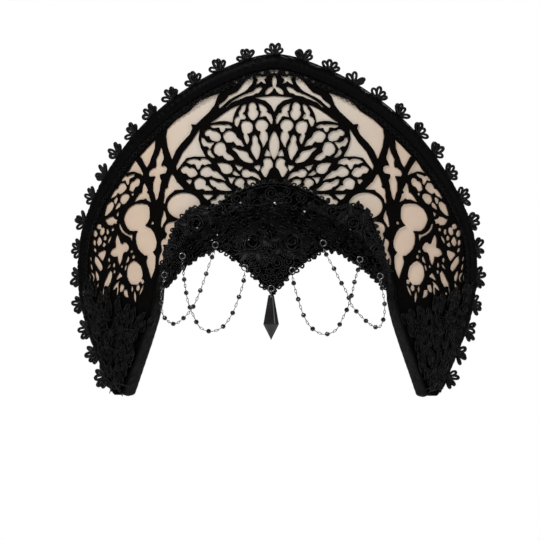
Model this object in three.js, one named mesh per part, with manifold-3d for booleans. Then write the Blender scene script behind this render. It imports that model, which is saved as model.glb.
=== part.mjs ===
// Kokoshnik headdress: a tall crescent board covered in nude fabric and a cut-out black Gothic tracery,
// bent round the head, with a padded rim, picot loops, a corded-lace front, bead swags and a hanging drop.
//
// Frame: millimetres. +Z is up, -Y is the wearer's front and +X the wearer's left. The origin is the
// middle of the headband's underside, where the headdress sits on top of the head.
//
// The board is laid out flat in (u, v), u along the bend and v up it, and is then rolled onto a leaning
// upright cylinder. w is the height above the board's front face, towards the viewer.
import * as THREE from "three";
import { mergeVertices } from "three/addons/utils/BufferGeometryUtils.js";
import Module from "manifold-3d";

const wasm = await Module();
wasm.setup();

// ---------------------------------------------------------------- driving dimensions
const BEND_RADIUS = 210;
const LEAN = THREE.MathUtils.degToRad(5); // the top leans back by this much

// Outer edge of one side, from the middle of the top to the tip; the other side mirrors it.
const OUTLINE = [[0, 128], [42, 117], [82, 97], [119, 71.5], [150, 43], [173.5, 15.5], [190, -15], [192.5, -50],
  [183, -82], [166, -112], [144, -147]];
const ARCH = { halfWidth: 99.5, centre: -68, rise: 68, share: 0.62 };
const FLARE = [[99.5, -68], [103, -88], [116, -114], [130.5, -147]]; // from the arch's foot to the tip

const BAND = { width: 13, thickness: 12, tipShare: 0.5, taperFrom: 0.82 };
const HEADBAND = { thickness: 2.5, front: 3, back: 12 };
const BOARD_THICKNESS = 2;
const TRACERY = { lift: 0.5, thickness: 0.9, margin: 0.6 };
const GAP = 0.4;

const PICOT = { countOfSide: 16, pitch: 23.2, reach: 8, halfWidth: 6.2, tape: 1.6, thickness: 2 };

const HEAD = { halfWidth: 95, halfDepth: 101, halfHeight: 98, back: 35, down: 89 };
const LACE_THICKNESS = 4;

const THREAD_RADIUS = 0.45;
const BEAD_RADIUS = 1.9;
const BEAD_STEP = 12.5;
const RING = { radius: 2.3, wire: 0.45 };

const DROP = { top: 4.4, widest: 12, thickness: 8, length: 34.3, shoulder: 0.65, hole: 0.95, holeDepth: 2.2 };
const BAIL = { wire: 0.45, halfDepth: 2.8, height: 6.2 };

const COLOURS = {
  nude: [0xcdb8a4, 0.6, 0], black: [0x0b0a0b, 0.85, 0], satin: [0x0a0a0b, 0.5, 0], lace: [0x0d0c0d, 0.75, 0],
  jet: [0x08080a, 0.15, 0], steel: [0x5a5a5e, 0.3, 1], crystal: [0x141214, 0.08, 0],
};

// ---------------------------------------------------------------- frame of the bent board
function onBoard(u, v, w) {
  const turn = u / BEND_RADIUS;
  const x = (BEND_RADIUS + w) * Math.sin(turn);
  const y = BEND_RADIUS - (BEND_RADIUS + w) * Math.cos(turn);
  return new THREE.Vector3(
    x,
    y * Math.cos(LEAN) + v * Math.sin(LEAN),
    v * Math.cos(LEAN) - y * Math.sin(LEAN),
  );
}

const outlineCurve = new THREE.SplineCurve([
  ...OUTLINE.slice(1).reverse().map(([u, v]) => new THREE.Vector2(-u, v)),
  ...OUTLINE.map(([u, v]) => new THREE.Vector2(u, v)),
]);

// Outer edge of the padded rim; f runs evenly from -1 at one tip to 1 at the other.
function outlinePoint(f) {
  return outlineCurve.getPointAt(THREE.MathUtils.clamp((f + 1) / 2, 0, 1));
}

const flareCurve = new THREE.CubicBezierCurve(...FLARE.map(([u, v]) => new THREE.Vector2(u, v)));

// Underside of the headband: an arch over the head, then a flare out to each tip.
function archPoint(f) {
  const side = Math.sign(f) || 1;
  const share = Math.abs(f) / ARCH.share;
  if (share <= 1) {
    const angle = share * Math.PI / 2;
    return new THREE.Vector2(side * ARCH.halfWidth * Math.sin(angle), ARCH.centre + ARCH.rise * Math.cos(angle));
  }
  const p = flareCurve.getPoint((Math.abs(f) - ARCH.share) / (1 - ARCH.share));
  return new THREE.Vector2(side * p.x, p.y);
}

// A point moved away from the head, square to its curve.
function offsetPoint(curve, f, distance) {
  const step = 1e-3;
  const tangent = curve(f + step).sub(curve(f - step)).normalize();
  return curve(f).add(new THREE.Vector2(-tangent.y, tangent.x).multiplyScalar(distance));
}

// The rim narrows towards each tip.
function rimShare(f) {
  const along = Math.max(Math.abs(f) - BAND.taperFrom, 0) / (1 - BAND.taperFrom);
  return 1 - (1 - BAND.tipShare) * along * along;
}

const boardInner = (f, extra = 0) => offsetPoint(archPoint, f, HEADBAND.thickness + GAP + extra);
const boardOuter = (f, extra = 0) => offsetPoint(outlinePoint, f, -BAND.width * rimShare(f) - GAP - extra);

// ---------------------------------------------------------------- front of the head that the lace lies on
function headFront(x, z, clearance) {
  const share = 1 - (x / (HEAD.halfWidth + clearance)) ** 2
    - ((z + HEAD.down) / (HEAD.halfHeight + clearance)) ** 2;
  return HEAD.back - (HEAD.halfDepth + clearance) * Math.sqrt(Math.max(share, 0));
}

function boardFront(x, z, clearance) {
  const radius = BEND_RADIUS + clearance;
  return (BEND_RADIUS - Math.sqrt(radius * radius - x * x)) / Math.cos(LEAN) + z * Math.tan(LEAN);
}

// The lace drapes over whichever is further forward, with a soft turn where the two meet.
function laceDepth(x, z) {
  const head = headFront(x, z, 1);
  const board = boardFront(x, z, HEADBAND.front + 1);
  const blend = 12;
  const mix = Math.max(blend - Math.abs(head - board), 0) / blend;
  return Math.min(head, board) - mix * mix * blend / 4;
}

// Forward-facing direction square to the lace, with a y of -1.
function laceFacing(x, z) {
  const step = 0.5;
  const slopeX = (laceDepth(x + step, z) - laceDepth(x - step, z)) / (2 * step);
  const slopeZ = (laceDepth(x, z + step) - laceDepth(x, z - step)) / (2 * step);
  return new THREE.Vector3(slopeX, -1, slopeZ);
}

function onLace(x, z, lift) {
  return new THREE.Vector3(x, laceDepth(x, z), z).addScaledVector(laceFacing(x, z).normalize(), lift);
}

// A point straight in front of the lace at (x, z), clear of its back by that much.
function beforeLace(x, z, clearance) {
  return new THREE.Vector3(x, laceDepth(x, z) - clearance * laceFacing(x, z).length(), z);
}

// ---------------------------------------------------------------- making solids
// Closed solid from vertices and triangles, with its faces turned outwards.
function closedSolid(vertices, faces) {
  const volume = faces.reduce((sum, [a, b, c]) =>
    sum + vertices[a].dot(new THREE.Vector3().crossVectors(vertices[b], vertices[c])), 0);
  const outward = volume > 0 ? faces : faces.map(([a, b, c]) => [a, c, b]);
  const geometry = new THREE.BufferGeometry();
  geometry.setAttribute("position", new THREE.Float32BufferAttribute(vertices.flatMap((p) => p.toArray()), 3));
  geometry.setIndex(outward.flat());
  return geometry;
}

// A sheet with a front and a back: point(i, j, side) gives its vertices, with side 0 in front.
function sheetSolid(columns, rows, point) {
  const vertices = [];
  const faces = [];
  const index = (i, j, side) => (side * (columns + 1) + i) * (rows + 1) + j;
  for (const side of [0, 1])
    for (let i = 0; i <= columns; i++)
      for (let j = 0; j <= rows; j++) vertices.push(point(i, j, side));
  const quad = (a, b, c, d) => faces.push([a, b, c], [a, c, d]);
  for (let i = 0; i < columns; i++)
    for (let j = 0; j < rows; j++) {
      quad(index(i, j, 0), index(i + 1, j, 0), index(i + 1, j + 1, 0), index(i, j + 1, 0));
      quad(index(i, j, 1), index(i, j + 1, 1), index(i + 1, j + 1, 1), index(i + 1, j, 1));
    }
  for (let i = 0; i < columns; i++) {
    quad(index(i, 0, 0), index(i, 0, 1), index(i + 1, 0, 1), index(i + 1, 0, 0));
    quad(index(i, rows, 0), index(i + 1, rows, 0), index(i + 1, rows, 1), index(i, rows, 1));
  }
  for (let j = 0; j < rows; j++) {
    quad(index(0, j, 0), index(0, j + 1, 0), index(0, j + 1, 1), index(0, j, 1));
    quad(index(columns, j, 0), index(columns, j, 1), index(columns, j + 1, 1), index(columns, j + 1, 0));
  }
  return closedSolid(vertices, faces);
}

// A bar swept along a row of places: ringPoint(i, k) gives point k of the section at place i.
function sweptSolid(places, sides, ringPoint, loop = false) {
  const vertices = [];
  const faces = [];
  for (let i = 0; i < places; i++) for (let k = 0; k < sides; k++) vertices.push(ringPoint(i, k));
  const spans = loop ? places : places - 1;
  for (let i = 0; i < spans; i++)
    for (let k = 0; k < sides; k++) {
      const next = ((i + 1) % places) * sides;
      const side = (k + 1) % sides;
      const here = i * sides;
      faces.push([here + k, next + k, next + side], [here + k, next + side, here + side]);
    }
  if (!loop)
    for (let k = 1; k < sides - 1; k++) {
      const last = (places - 1) * sides;
      faces.push([0, k, k + 1], [last, last + k + 1, last + k]);
    }
  return closedSolid(vertices, faces);
}

// Bar along a curve on the board; section(f) gives its points as [across the curve, above the board].
function barOnBoard(curve, count, sides, section) {
  return sweptSolid(count, sides, (i, k) => {
    const f = -1 + 2 * i / (count - 1);
    const [across, above] = section(f)[k];
    const p = offsetPoint(curve, f, across);
    return onBoard(p.x, p.y, above);
  });
}

// Splits each edge longer than the limit, so that a flat mesh can be bent.
function splitLongEdges(points, faces, limit) {
  const middles = new Map();
  const middle = (a, b) => {
    const key = a < b ? `${a},${b}` : `${b},${a}`;
    if (points[a].distanceTo(points[b]) <= limit) return -1;
    if (!middles.has(key)) middles.set(key, points.push(points[a].clone().lerp(points[b], 0.5)) - 1);
    return middles.get(key);
  };
  const out = [];
  for (const corners of faces) {
    const cut = corners.map((corner, k) => middle(corner, corners[(k + 1) % 3]));
    const count = cut.filter((m) => m >= 0).length;
    if (count === 0) { out.push(corners); continue; }
    const turn = count === 1 ? cut.findIndex((m) => m >= 0)
      : count === 2 ? (cut.findIndex((m) => m < 0) + 1) % 3 : 0;
    const [a, b, c] = [0, 1, 2].map((k) => corners[(k + turn) % 3]);
    const [ab, bc, ca] = [0, 1, 2].map((k) => cut[(k + turn) % 3]);
    if (count === 1) out.push([a, ab, c], [ab, b, c]);
    if (count === 2) out.push([ab, b, bc], [a, ab, bc], [a, bc, c]);
    if (count === 3) out.push([a, ab, ca], [ab, b, bc], [ca, bc, c], [ab, bc, ca]);
  }
  return middles.size ? splitLongEdges(points, out, limit) : out;
}

// A flat shape in (u, v) with holes, cut from sheet and bent onto the board between two heights.
function bentPlate(shape, low, high, longest) {
  let flat = new THREE.ExtrudeGeometry(shape, { depth: high - low, bevelEnabled: false, curveSegments: 5 });
  flat.deleteAttribute("normal");
  flat.deleteAttribute("uv");
  flat = mergeVertices(flat, 1e-3);
  const place = flat.getAttribute("position");
  const points = Array.from({ length: place.count }, (_, i) => new THREE.Vector3().fromBufferAttribute(place, i));
  const triangles = [];
  for (let i = 0; i < flat.index.count; i += 3) triangles.push(Array.from(flat.index.array.slice(i, i + 3)));
  const faces = splitLongEdges(points, triangles, longest);
  return closedSolid(points.map((p) => onBoard(p.x, p.y, low + p.z)), faces);
}

// manifold-3d solid of a geometry, and back.
function toManifold(geometry) {
  const bare = geometry.clone();
  bare.deleteAttribute("normal");
  bare.deleteAttribute("uv");
  const merged = mergeVertices(bare, 1e-4);
  return new wasm.Manifold(new wasm.Mesh({
    numProp: 3,
    vertProperties: Float32Array.from(merged.attributes.position.array),
    triVerts: Uint32Array.from(merged.index.array),
  }));
}

function fromManifold(solid) {
  const mesh = solid.getMesh();
  const geometry = new THREE.BufferGeometry();
  geometry.setAttribute("position", new THREE.Float32BufferAttribute(mesh.vertProperties, 3));
  geometry.setIndex(Array.from(mesh.triVerts));
  return geometry;
}

// ---------------------------------------------------------------- board, rim and headband
function oval(width, thickness, sides, across, above) {
  return Array.from({ length: sides }, (_, k) => {
    const angle = 2 * Math.PI * k / sides;
    return [across + width / 2 * Math.cos(angle), above + thickness / 2 * Math.sin(angle)];
  });
}

function boardGeometry() {
  const columns = 56;
  const rows = 4;
  return sheetSolid(columns, rows, (i, j, side) => {
    const f = -1 + 2 * i / columns;
    const p = boardInner(f).lerp(boardOuter(f), j / rows);
    return onBoard(p.x, p.y, side ? -BOARD_THICKNESS : 0);
  });
}

function rimGeometry() {
  const sides = 8;
  return barOnBoard(outlinePoint, 56, sides, (f) => {
    const width = BAND.width * rimShare(f);
    return oval(width, BAND.thickness * rimShare(f), sides, -width / 2, -BOARD_THICKNESS / 2);
  });
}

function headbandGeometry() {
  const { thickness, front, back } = HEADBAND;
  const section = [[0, front], [thickness, front], [thickness, -back], [0, -back]];
  return barOnBoard(archPoint, 56, section.length, () => section);
}

// ---------------------------------------------------------------- picot loops, as their outer form
function picotGeometry() {
  const shape = new THREE.Shape();
  const add = (f, out, first) => {
    const p = offsetPoint(outlinePoint, f, out);
    if (first) shape.moveTo(p.x, p.y);
    else shape.lineTo(p.x, p.y);
  };
  const inner = GAP;
  const outer = GAP + PICOT.tape;
  const perMillimetre = 2 / outlineCurve.getLength();
  const lobe = [[-0.6, 0.02], [-1, 0.45], [-0.75, 0.82], [-0.3, 1], [0.3, 1], [0.75, 0.82], [1, 0.45], [0.6, 0.02]];
  add(-1, outer, true);
  for (let n = -PICOT.countOfSide; n <= PICOT.countOfSide; n++)
    for (const [across, out] of lobe)
      add((n * PICOT.pitch + across * PICOT.halfWidth) * perMillimetre, outer + out * PICOT.reach, false);
  add(1, outer, false);
  const steps = 56;
  for (let i = steps; i >= 0; i--) add(-1 + 2 * i / steps, inner, false);
  const middleHeight = -BOARD_THICKNESS / 2;
  return bentPlate(shape, middleHeight - PICOT.thickness / 2, middleHeight + PICOT.thickness / 2, 24);
}

// ---------------------------------------------------------------- tracery, with its main openings
// Round and leaf-shaped openings of one side: [u, v, half width, half height, turn in degrees, sides].
const FOILS = [
  [17.5, 83, 3.6, 7, 0, 8], [22, 69, 4.4, 4.4, 0, 8], [10, 70.5, 4.5, 4.5, 0, 8],
  [14.5, 52, 3.8, 8, 0, 8], [35.5, 62, 4.5, 4.5, 0, 8], [44, 52, 4.7, 4.7, 0, 8],
  [49.5, 63.5, 5.5, 3.2, 30, 8], [25, 46.5, 9.7, 3.2, 31, 8], [55.5, 34, 4.5, 4.5, 0, 8],
  [61, 25, 4.5, 4.5, 0, 8], [68.5, 34.5, 5.8, 3, 24, 8], [40, 36, 6.8, 3.8, 32, 8],
  [5.5, 37, 3.4, 6.8, 0, 8], [22.5, 32, 3.2, 3.2, 0, 6], [28, 25, 3.6, 3.6, 0, 6],
  [75, 7, 14, 10, 0, 12], [119.5, 1, 11.5, 12, 0, 12], [110.5, -22.5, 9.5, 11, 0, 12],
  [125, -48, 8, 9.5, 0, 10], [110.5, -56, 4, 6, 0, 8], [136, -24, 6, 7, 0, 8],
];
const CENTRE_FOIL = [0, 52, 3.4, 10, 0, 8];

// Larger openings of one side between the great arch, the rose and the rim, as corners.
const LIGHTS = [
  [[44.5, 97], [60.5, 90.5], [69.5, 83], [82.5, 76.5], [90, 70], [89.5, 55.5], [85.5, 45.5],
    [78, 57.5], [70, 65], [66, 70.5], [53.5, 82.5]],
  [[61.5, 67], [75.5, 50.5], [81.5, 39.5], [72.5, 46], [57, 47], [62.5, 60.5]],
  [[96, 55], [100, 47], [101, 41], [107.5, 34.5], [102.5, 28], [100, 12.5], [96, 30], [90.5, 37.5],
    [93.5, 46.5]],
  [[85, 32], [89, 24.5], [92.5, 18], [92, 12], [83, 21], [76, 21], [81.5, 26.5]],
  [[89.5, -8], [94, -20], [93, -27], [96, -32], [96, -37], [93, -33], [89, -26], [87, -19], [80.5, -13.5],
    [78.5, -7.5]],
];

function foilCorners([u, v, halfWidth, halfHeight, turn, sides], side) {
  const tilt = THREE.MathUtils.degToRad(turn);
  return Array.from({ length: sides }, (_, k) => {
    const angle = 2 * Math.PI * k / sides;
    const a = halfWidth * Math.cos(angle);
    const b = halfHeight * Math.sin(angle);
    return [side * (u + a * Math.cos(tilt) - b * Math.sin(tilt)), v + a * Math.sin(tilt) + b * Math.cos(tilt)];
  });
}

function traceryGeometry() {
  const count = 48;
  const edge = [];
  for (let i = 0; i <= count; i++) edge.push(boardInner(-1 + 2 * i / count, TRACERY.margin));
  for (let i = count; i >= 0; i--) edge.push(boardOuter(-1 + 2 * i / count, TRACERY.margin));
  const openings = [foilCorners(CENTRE_FOIL, 1)];
  for (const side of [1, -1]) {
    for (const foil of FOILS) openings.push(foilCorners(foil, side));
    for (const corners of LIGHTS) openings.push(corners.map(([u, v]) => [side * u, v]));
  }
  const shape = new THREE.Shape(edge);
  shape.holes = openings.map((corners) => new THREE.Path(corners.map(([u, v]) => new THREE.Vector2(u, v))));
  return bentPlate(shape, TRACERY.lift, TRACERY.lift + TRACERY.thickness, 27);
}

// ---------------------------------------------------------------- lace over the forehead and at the tips
const LACE_TOP = [[-90, -44], [-86, -31], [-82, -18], [-77, -8], [-69, 0], [-60, 4], [-50, 3], [-37, 11],
  [-24, 18], [-12, 22], [0, 23.5], [12, 22], [24, 18], [37, 11], [50, 3], [60, 5], [69, 3], [77, -4], [82, -16],
  [86, -31], [90, -44]];
const LACE_BOTTOM = [[-90, -62], [-82, -56], [-74, -47], [-64, -39], [-53, -32], [-42, -29], [-32, -33],
  [-23, -40], [-15, -46.5], [-7, -54.5], [0, -60], [7, -54.5], [15, -46.5], [23, -40], [32, -33], [42, -29],
  [53, -32], [64, -39], [74, -47], [82, -55], [90, -60]];

function frontLaceGeometry() {
  const top = new THREE.SplineCurve(LACE_TOP.map(([x, z]) => new THREE.Vector2(x, z)));
  const bottom = new THREE.SplineCurve(LACE_BOTTOM.map(([x, z]) => new THREE.Vector2(x, z)));
  const columns = 36;
  const rows = 6;
  return sheetSolid(columns, rows, (i, j, side) => {
    const p = bottom.getPoint(i / columns).lerp(top.getPoint(i / columns), j / rows);
    return onLace(p.x, p.y, side ? 0 : LACE_THICKNESS);
  });
}

function tipLaceGeometry(side) {
  const columns = 12;
  const rows = 5;
  const start = 0.74;
  const low = TRACERY.lift + TRACERY.thickness + GAP;
  return sheetSolid(columns, rows, (i, j, back) => {
    const f = side * (start + (0.995 - start) * i / columns);
    const p = boardInner(f, 1).lerp(boardOuter(f, 1), j / rows);
    const swell = Math.sin(Math.PI * (0.12 + 0.8 * i / columns)) * (0.4 + 0.6 * Math.sin(Math.PI * j / rows));
    return onBoard(p.x, p.y, back ? low : low + 1.2 + 4 * swell);
  });
}

// ---------------------------------------------------------------- bead swags on their jump rings
// Routes from ring to ring as [x, z, clearance in front of the forehead and of the lace's back].
const SWAGS = {
  swag_right_inner: [[-20.6, -45.5, 6.5], [-21.7, -54, 5], [-25.4, -66, 4], [-30.4, -78, 4], [-37.7, -87.6, 4],
    [-46.6, -91, 5], [-55.3, -88, 6.5], [-60.9, -78.5, 8], [-65.1, -69, 8], [-67.6, -58.5, 7.5],
    [-69.8, -48.5, 6.5], [-71.6, -37.5, 6.5]],
  swag_right_outer: [[-44.4, -28.5, 6.5], [-48.1, -37.7, 6], [-52.5, -51, 3.5], [-56.6, -62.4, 3], [-61.9, -73.6, 3],
    [-70.3, -82.8, 3], [-77.6, -87, 3.5], [-85.4, -83.4, 4], [-88.6, -77, 5], [-88.9, -69, 6.5],
    [-88.9, -60.3, 7], [-87.1, -53, 7]],
  swag_left_inner: [[16, -47.5, 6.5], [17.6, -56, 5], [20.6, -66, 4], [24.5, -77.6, 4], [30.4, -87.4, 4],
    [39.7, -92.8, 5], [49.1, -90, 6.5], [54.8, -80.4, 8], [59.1, -71.4, 8], [61.7, -63, 7.5], [64.4, -51.6, 6.5],
    [68.2, -40, 6.5]],
  swag_left_outer: [[39.5, -27, 6.5], [43.2, -34.6, 6.5], [47.9, -43, 5], [52.3, -51.8, 3.5], [57.8, -61.6, 3],
    [62, -72, 3], [70.2, -81.5, 3], [78.2, -88.4, 3.5], [83.9, -89.4, 4], [87.3, -82, 5], [87.8, -72.4, 6.5],
    [86.5, -63, 7], [84.4, -53.5, 7]],
};

function swagCurve(route) {
  return new THREE.CatmullRomCurve3(route.map(([x, z, clearance]) => beforeLace(x, z, clearance)));
}

function swagGeometry(curve) {
  const steps = 22;
  const sides = 5;
  const frames = curve.computeFrenetFrames(steps, false);
  const thread = sweptSolid(steps + 1, sides, (i, k) => {
    const angle = 2 * Math.PI * k / sides;
    return curve.getPointAt(i / steps)
      .addScaledVector(frames.normals[i], THREAD_RADIUS * Math.cos(angle))
      .addScaledVector(frames.binormals[i], THREAD_RADIUS * Math.sin(angle));
  });
  let solid = toManifold(thread);
  const beads = Math.floor(curve.getLength() / BEAD_STEP);
  for (let n = 0; n < beads; n++) {
    const bead = new THREE.SphereGeometry(BEAD_RADIUS, 6, 3);
    bead.rotateX(Math.PI / 2);
    bead.translate(...curve.getPointAt((n + 0.5) / beads).toArray());
    solid = solid.add(toManifold(bead));
  }
  return fromManifold(solid);
}

// A jump ring standing over the end of a swag, clear of the lace.
function jumpRingGeometry(end) {
  const ring = new THREE.TorusGeometry(RING.radius, RING.wire, 5, 9);
  ring.rotateX(Math.PI / 2);
  ring.translate(end.x, end.y, end.z + RING.radius + RING.wire + THREAD_RADIUS + GAP);
  return ring;
}

// ---------------------------------------------------------------- hanging drop
const TIP_RING = new THREE.Vector3(0, headFront(0, -58, 1) - LACE_THICKNESS - 3.8, -57.5);
const BAIL_AXIS = TIP_RING.clone().add(new THREE.Vector3(0, 0, -RING.radius));
const DROP_AXIS = BAIL_AXIS.clone().add(new THREE.Vector3(0, 0, 2 * BAIL.wire + GAP - BAIL.height));

// Ring sewn to the point of the lace, square to the view, so that its lowest wire runs along X.
function tipRingGeometry() {
  const ring = new THREE.TorusGeometry(RING.radius, RING.wire, 8, 14);
  ring.rotateX(Math.PI / 2);
  ring.translate(...TIP_RING.toArray());
  return ring;
}

// Oblong wire loop in the YZ plane that joins the ring to the drop.
function bailGeometry() {
  const top = BAIL_AXIS.z + 2 * BAIL.wire + GAP;
  const bottom = DROP_AXIS.z;
  const corner = 1.6;
  const places = [];
  for (const [signY, signZ] of [[1, 1], [-1, 1], [-1, -1], [1, -1]])
    for (let k = 0; k <= 3; k++) {
      const start = Math.atan2(signZ, signY) - Math.PI / 4;
      const angle = start + k / 3 * Math.PI / 2;
      places.push([signY * (BAIL.halfDepth - corner) + corner * Math.cos(angle),
        (signZ > 0 ? top - corner : bottom + corner) + corner * Math.sin(angle), angle]);
    }
  const sides = 6;
  return sweptSolid(places.length, sides, (i, k) => {
    const [y, z, angle] = places[i];
    const turn = 2 * Math.PI * k / sides;
    const out = BAIL.wire * Math.cos(turn);
    return new THREE.Vector3(BAIL.wire * Math.sin(turn), BAIL_AXIS.y + y + out * Math.cos(angle),
      z + out * Math.sin(angle));
  }, true);
}

// Six-sided drop: narrow top, widest two thirds down, then a point; drilled from front to back.
function dropGeometry() {
  const sides = 6;
  const top = DROP_AXIS.z + DROP.holeDepth;
  const tip = new THREE.Vector3(BAIL_AXIS.x, BAIL_AXIS.y, top - DROP.length);
  const levels = [[0, DROP.top], [DROP.shoulder, DROP.widest]];
  const vertices = levels.flatMap(([share, width]) => Array.from({ length: sides }, (_, k) => {
    const angle = 2 * Math.PI * k / sides;
    const depth = width * (share ? DROP.thickness / DROP.widest : 0.8);
    return new THREE.Vector3(BAIL_AXIS.x + width / 2 * Math.cos(angle), BAIL_AXIS.y + depth / 2 * Math.sin(angle),
      top - share * DROP.length);
  }));
  vertices.push(tip);
  const faces = [];
  for (let k = 0; k < sides; k++) {
    const next = (k + 1) % sides;
    faces.push([k, sides + k, sides + next], [k, sides + next, next], [sides + k, 2 * sides, sides + next]);
  }
  for (let k = 1; k < sides - 1; k++) faces.push([0, k, k + 1]);
  const hole = new THREE.CylinderGeometry(DROP.hole, DROP.hole, 3 * DROP.thickness, 10);
  hole.translate(BAIL_AXIS.x, BAIL_AXIS.y, DROP_AXIS.z);
  return fromManifold(toManifold(closedSolid(vertices, faces)).subtract(toManifold(hole)));
}

// ---------------------------------------------------------------- assembly
const headdress = new THREE.Group();

function add(name, geometry, [color, roughness, metalness]) {
  const mesh = new THREE.Mesh(geometry, new THREE.MeshStandardMaterial({ color, roughness, metalness }));
  mesh.name = name;
  headdress.add(mesh);
}

add("board", boardGeometry(), COLOURS.nude);
add("tracery", traceryGeometry(), COLOURS.black);
add("padded_rim", rimGeometry(), COLOURS.satin);
add("picot_loops", picotGeometry(), COLOURS.satin);
add("headband", headbandGeometry(), COLOURS.satin);
add("front_lace", frontLaceGeometry(), COLOURS.lace);
add("tip_lace_right", tipLaceGeometry(-1), COLOURS.lace);
add("tip_lace_left", tipLaceGeometry(1), COLOURS.lace);
for (const [name, route] of Object.entries(SWAGS)) {
  const curve = swagCurve(route);
  add(name, swagGeometry(curve), COLOURS.jet);
  add(`${name}_ring_a`, jumpRingGeometry(curve.getPoint(0)), COLOURS.steel);
  add(`${name}_ring_b`, jumpRingGeometry(curve.getPoint(1)), COLOURS.steel);
}
add("tip_ring", tipRingGeometry(), COLOURS.steel);
add("bail", bailGeometry(), COLOURS.steel);
add("drop", dropGeometry(), COLOURS.crystal);

export default headdress;
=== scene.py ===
import math

import bmesh
import bpy
import numpy as np
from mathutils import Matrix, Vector
from mathutils.geometry import delaunay_2d_cdt


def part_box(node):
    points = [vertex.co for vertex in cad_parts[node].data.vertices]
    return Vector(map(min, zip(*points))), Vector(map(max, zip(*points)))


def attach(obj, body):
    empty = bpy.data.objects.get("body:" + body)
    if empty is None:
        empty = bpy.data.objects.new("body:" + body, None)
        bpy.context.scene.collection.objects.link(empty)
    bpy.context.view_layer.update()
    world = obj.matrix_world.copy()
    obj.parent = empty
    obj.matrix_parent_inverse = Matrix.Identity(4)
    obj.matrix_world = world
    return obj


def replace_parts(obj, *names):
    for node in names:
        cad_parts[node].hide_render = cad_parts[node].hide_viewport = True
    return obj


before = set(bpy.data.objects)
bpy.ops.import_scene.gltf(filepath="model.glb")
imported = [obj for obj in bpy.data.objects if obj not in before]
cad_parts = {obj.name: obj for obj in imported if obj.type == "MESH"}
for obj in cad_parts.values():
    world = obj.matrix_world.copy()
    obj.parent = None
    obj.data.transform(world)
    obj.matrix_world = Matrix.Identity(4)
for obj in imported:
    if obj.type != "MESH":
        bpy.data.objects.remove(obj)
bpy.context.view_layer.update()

# Lengths are millimetres, and become metres as a mesh is made. The board is laid out flat in (u, v) and
# rolled onto a leaning upright cylinder, with w the height above its front face, as in the CAD model.
MM = 0.001
BEND_RADIUS = 210
LEAN = math.radians(5)
RIM_SIDE = [(0, 128), (42, 117), (82, 97), (119, 71.5), (150, 43), (173.5, 15.5), (190, -15), (192.5, -50),
            (183, -82), (166, -112), (144, -147)]
ARCH_WIDTH, ARCH_CENTRE, ARCH_RISE, ARCH_SHARE = 99.5, -68, 68, 0.62
FLARE = [(99.5, -68), (103, -88), (116, -114), (130.5, -147)]
RIM_WIDTH = 13
RIM_THICKNESS = 12
TIP_SHARE = 0.5
TAPER_FROM = 0.82
HEADBAND_THICKNESS = 2.5
GAP = 0.4
BOARD_THICKNESS = 2
CLUSTERS_OF_SIDE = 16
CLUSTER_PITCH = 23.2
VIEW_TURN = math.radians(1.8)
VIEW_DISTANCE = 1.5

rng = np.random.default_rng(7)


# ------------------------------------------------------------------ camera
def make_camera():
    data = bpy.data.cameras.new("camera")
    data.sensor_width = 36
    data.lens = 125
    data.shift_x = -0.0074
    data.shift_y = -0.1056
    data.clip_start = 0.05
    camera = bpy.data.objects.new("camera", data)
    camera.location = (VIEW_DISTANCE * math.sin(VIEW_TURN), -VIEW_DISTANCE * math.cos(VIEW_TURN), 0)
    camera.rotation_euler = (math.radians(90), 0, VIEW_TURN)
    bpy.context.collection.objects.link(camera)
    bpy.context.scene.camera = camera


make_camera()


# ------------------------------------------------------------------ curves of the board
def on_board(u, v, w):
    turn = np.asarray(u, float) / BEND_RADIUS
    x = (BEND_RADIUS + w) * np.sin(turn)
    y = BEND_RADIUS - (BEND_RADIUS + w) * np.cos(turn)
    up = np.asarray(v, float)
    return np.stack([x, y * math.cos(LEAN) + up * math.sin(LEAN), up * math.cos(LEAN) - y * math.sin(LEAN)], -1)


def spline(points, t):
    """Catmull-Rom curve through points, with t counted in points."""
    points = np.asarray(points, float)
    t = np.clip(np.asarray(t, float), 0, len(points) - 1 - 1e-9)
    k = t.astype(int)
    t = (t - k)[..., None]
    a, b = points[np.maximum(k - 1, 0)], points[k]
    c, d = points[k + 1], points[np.minimum(k + 2, len(points) - 1)]
    start, end = (c - a) / 2, (d - b) / 2
    return (2 * b - 2 * c + start + end) * t ** 3 + (3 * c - 3 * b - 2 * start - end) * t * t + start * t + b


def run_of(points):
    """Lengths along a line of points, from 0."""
    return np.concatenate([[0], np.cumsum(np.linalg.norm(np.diff(points, axis=0), axis=1))])


RIM_LINE = [(-u, v) for u, v in RIM_SIDE[:0:-1]] + RIM_SIDE
RIM_STEPS = np.linspace(0, len(RIM_LINE) - 1, 4001)
RIM_RUN = run_of(spline(RIM_LINE, RIM_STEPS))
HALF_RIM = RIM_RUN[-1] / 2


def outline(f):
    """Outer edge of the rim, with f running evenly from -1 at one tip to 1 at the other."""
    along = (np.clip(f, -1, 1) + 1) * HALF_RIM
    return spline(RIM_LINE, np.interp(along, RIM_RUN, RIM_STEPS))


def arch(f):
    """Underside of the headband: an arch over the head, then a flare out to each tip."""
    f = np.asarray(f, float)
    share = np.abs(f) / ARCH_SHARE
    angle = np.minimum(share, 1) * math.pi / 2
    crown = np.stack([ARCH_WIDTH * np.sin(angle), ARCH_CENTRE + ARCH_RISE * np.cos(angle)], -1)
    t = np.clip((np.abs(f) - ARCH_SHARE) / (1 - ARCH_SHARE), 0, None)[..., None]
    a, b, c, d = np.array(FLARE, float)
    flare = a * (1 - t) ** 3 + 3 * b * t * (1 - t) ** 2 + 3 * c * t * t * (1 - t) + d * t ** 3
    point = np.where(share[..., None] <= 1, crown, flare)
    point[..., 0] *= np.where(f < 0, -1, 1)
    return point


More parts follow.
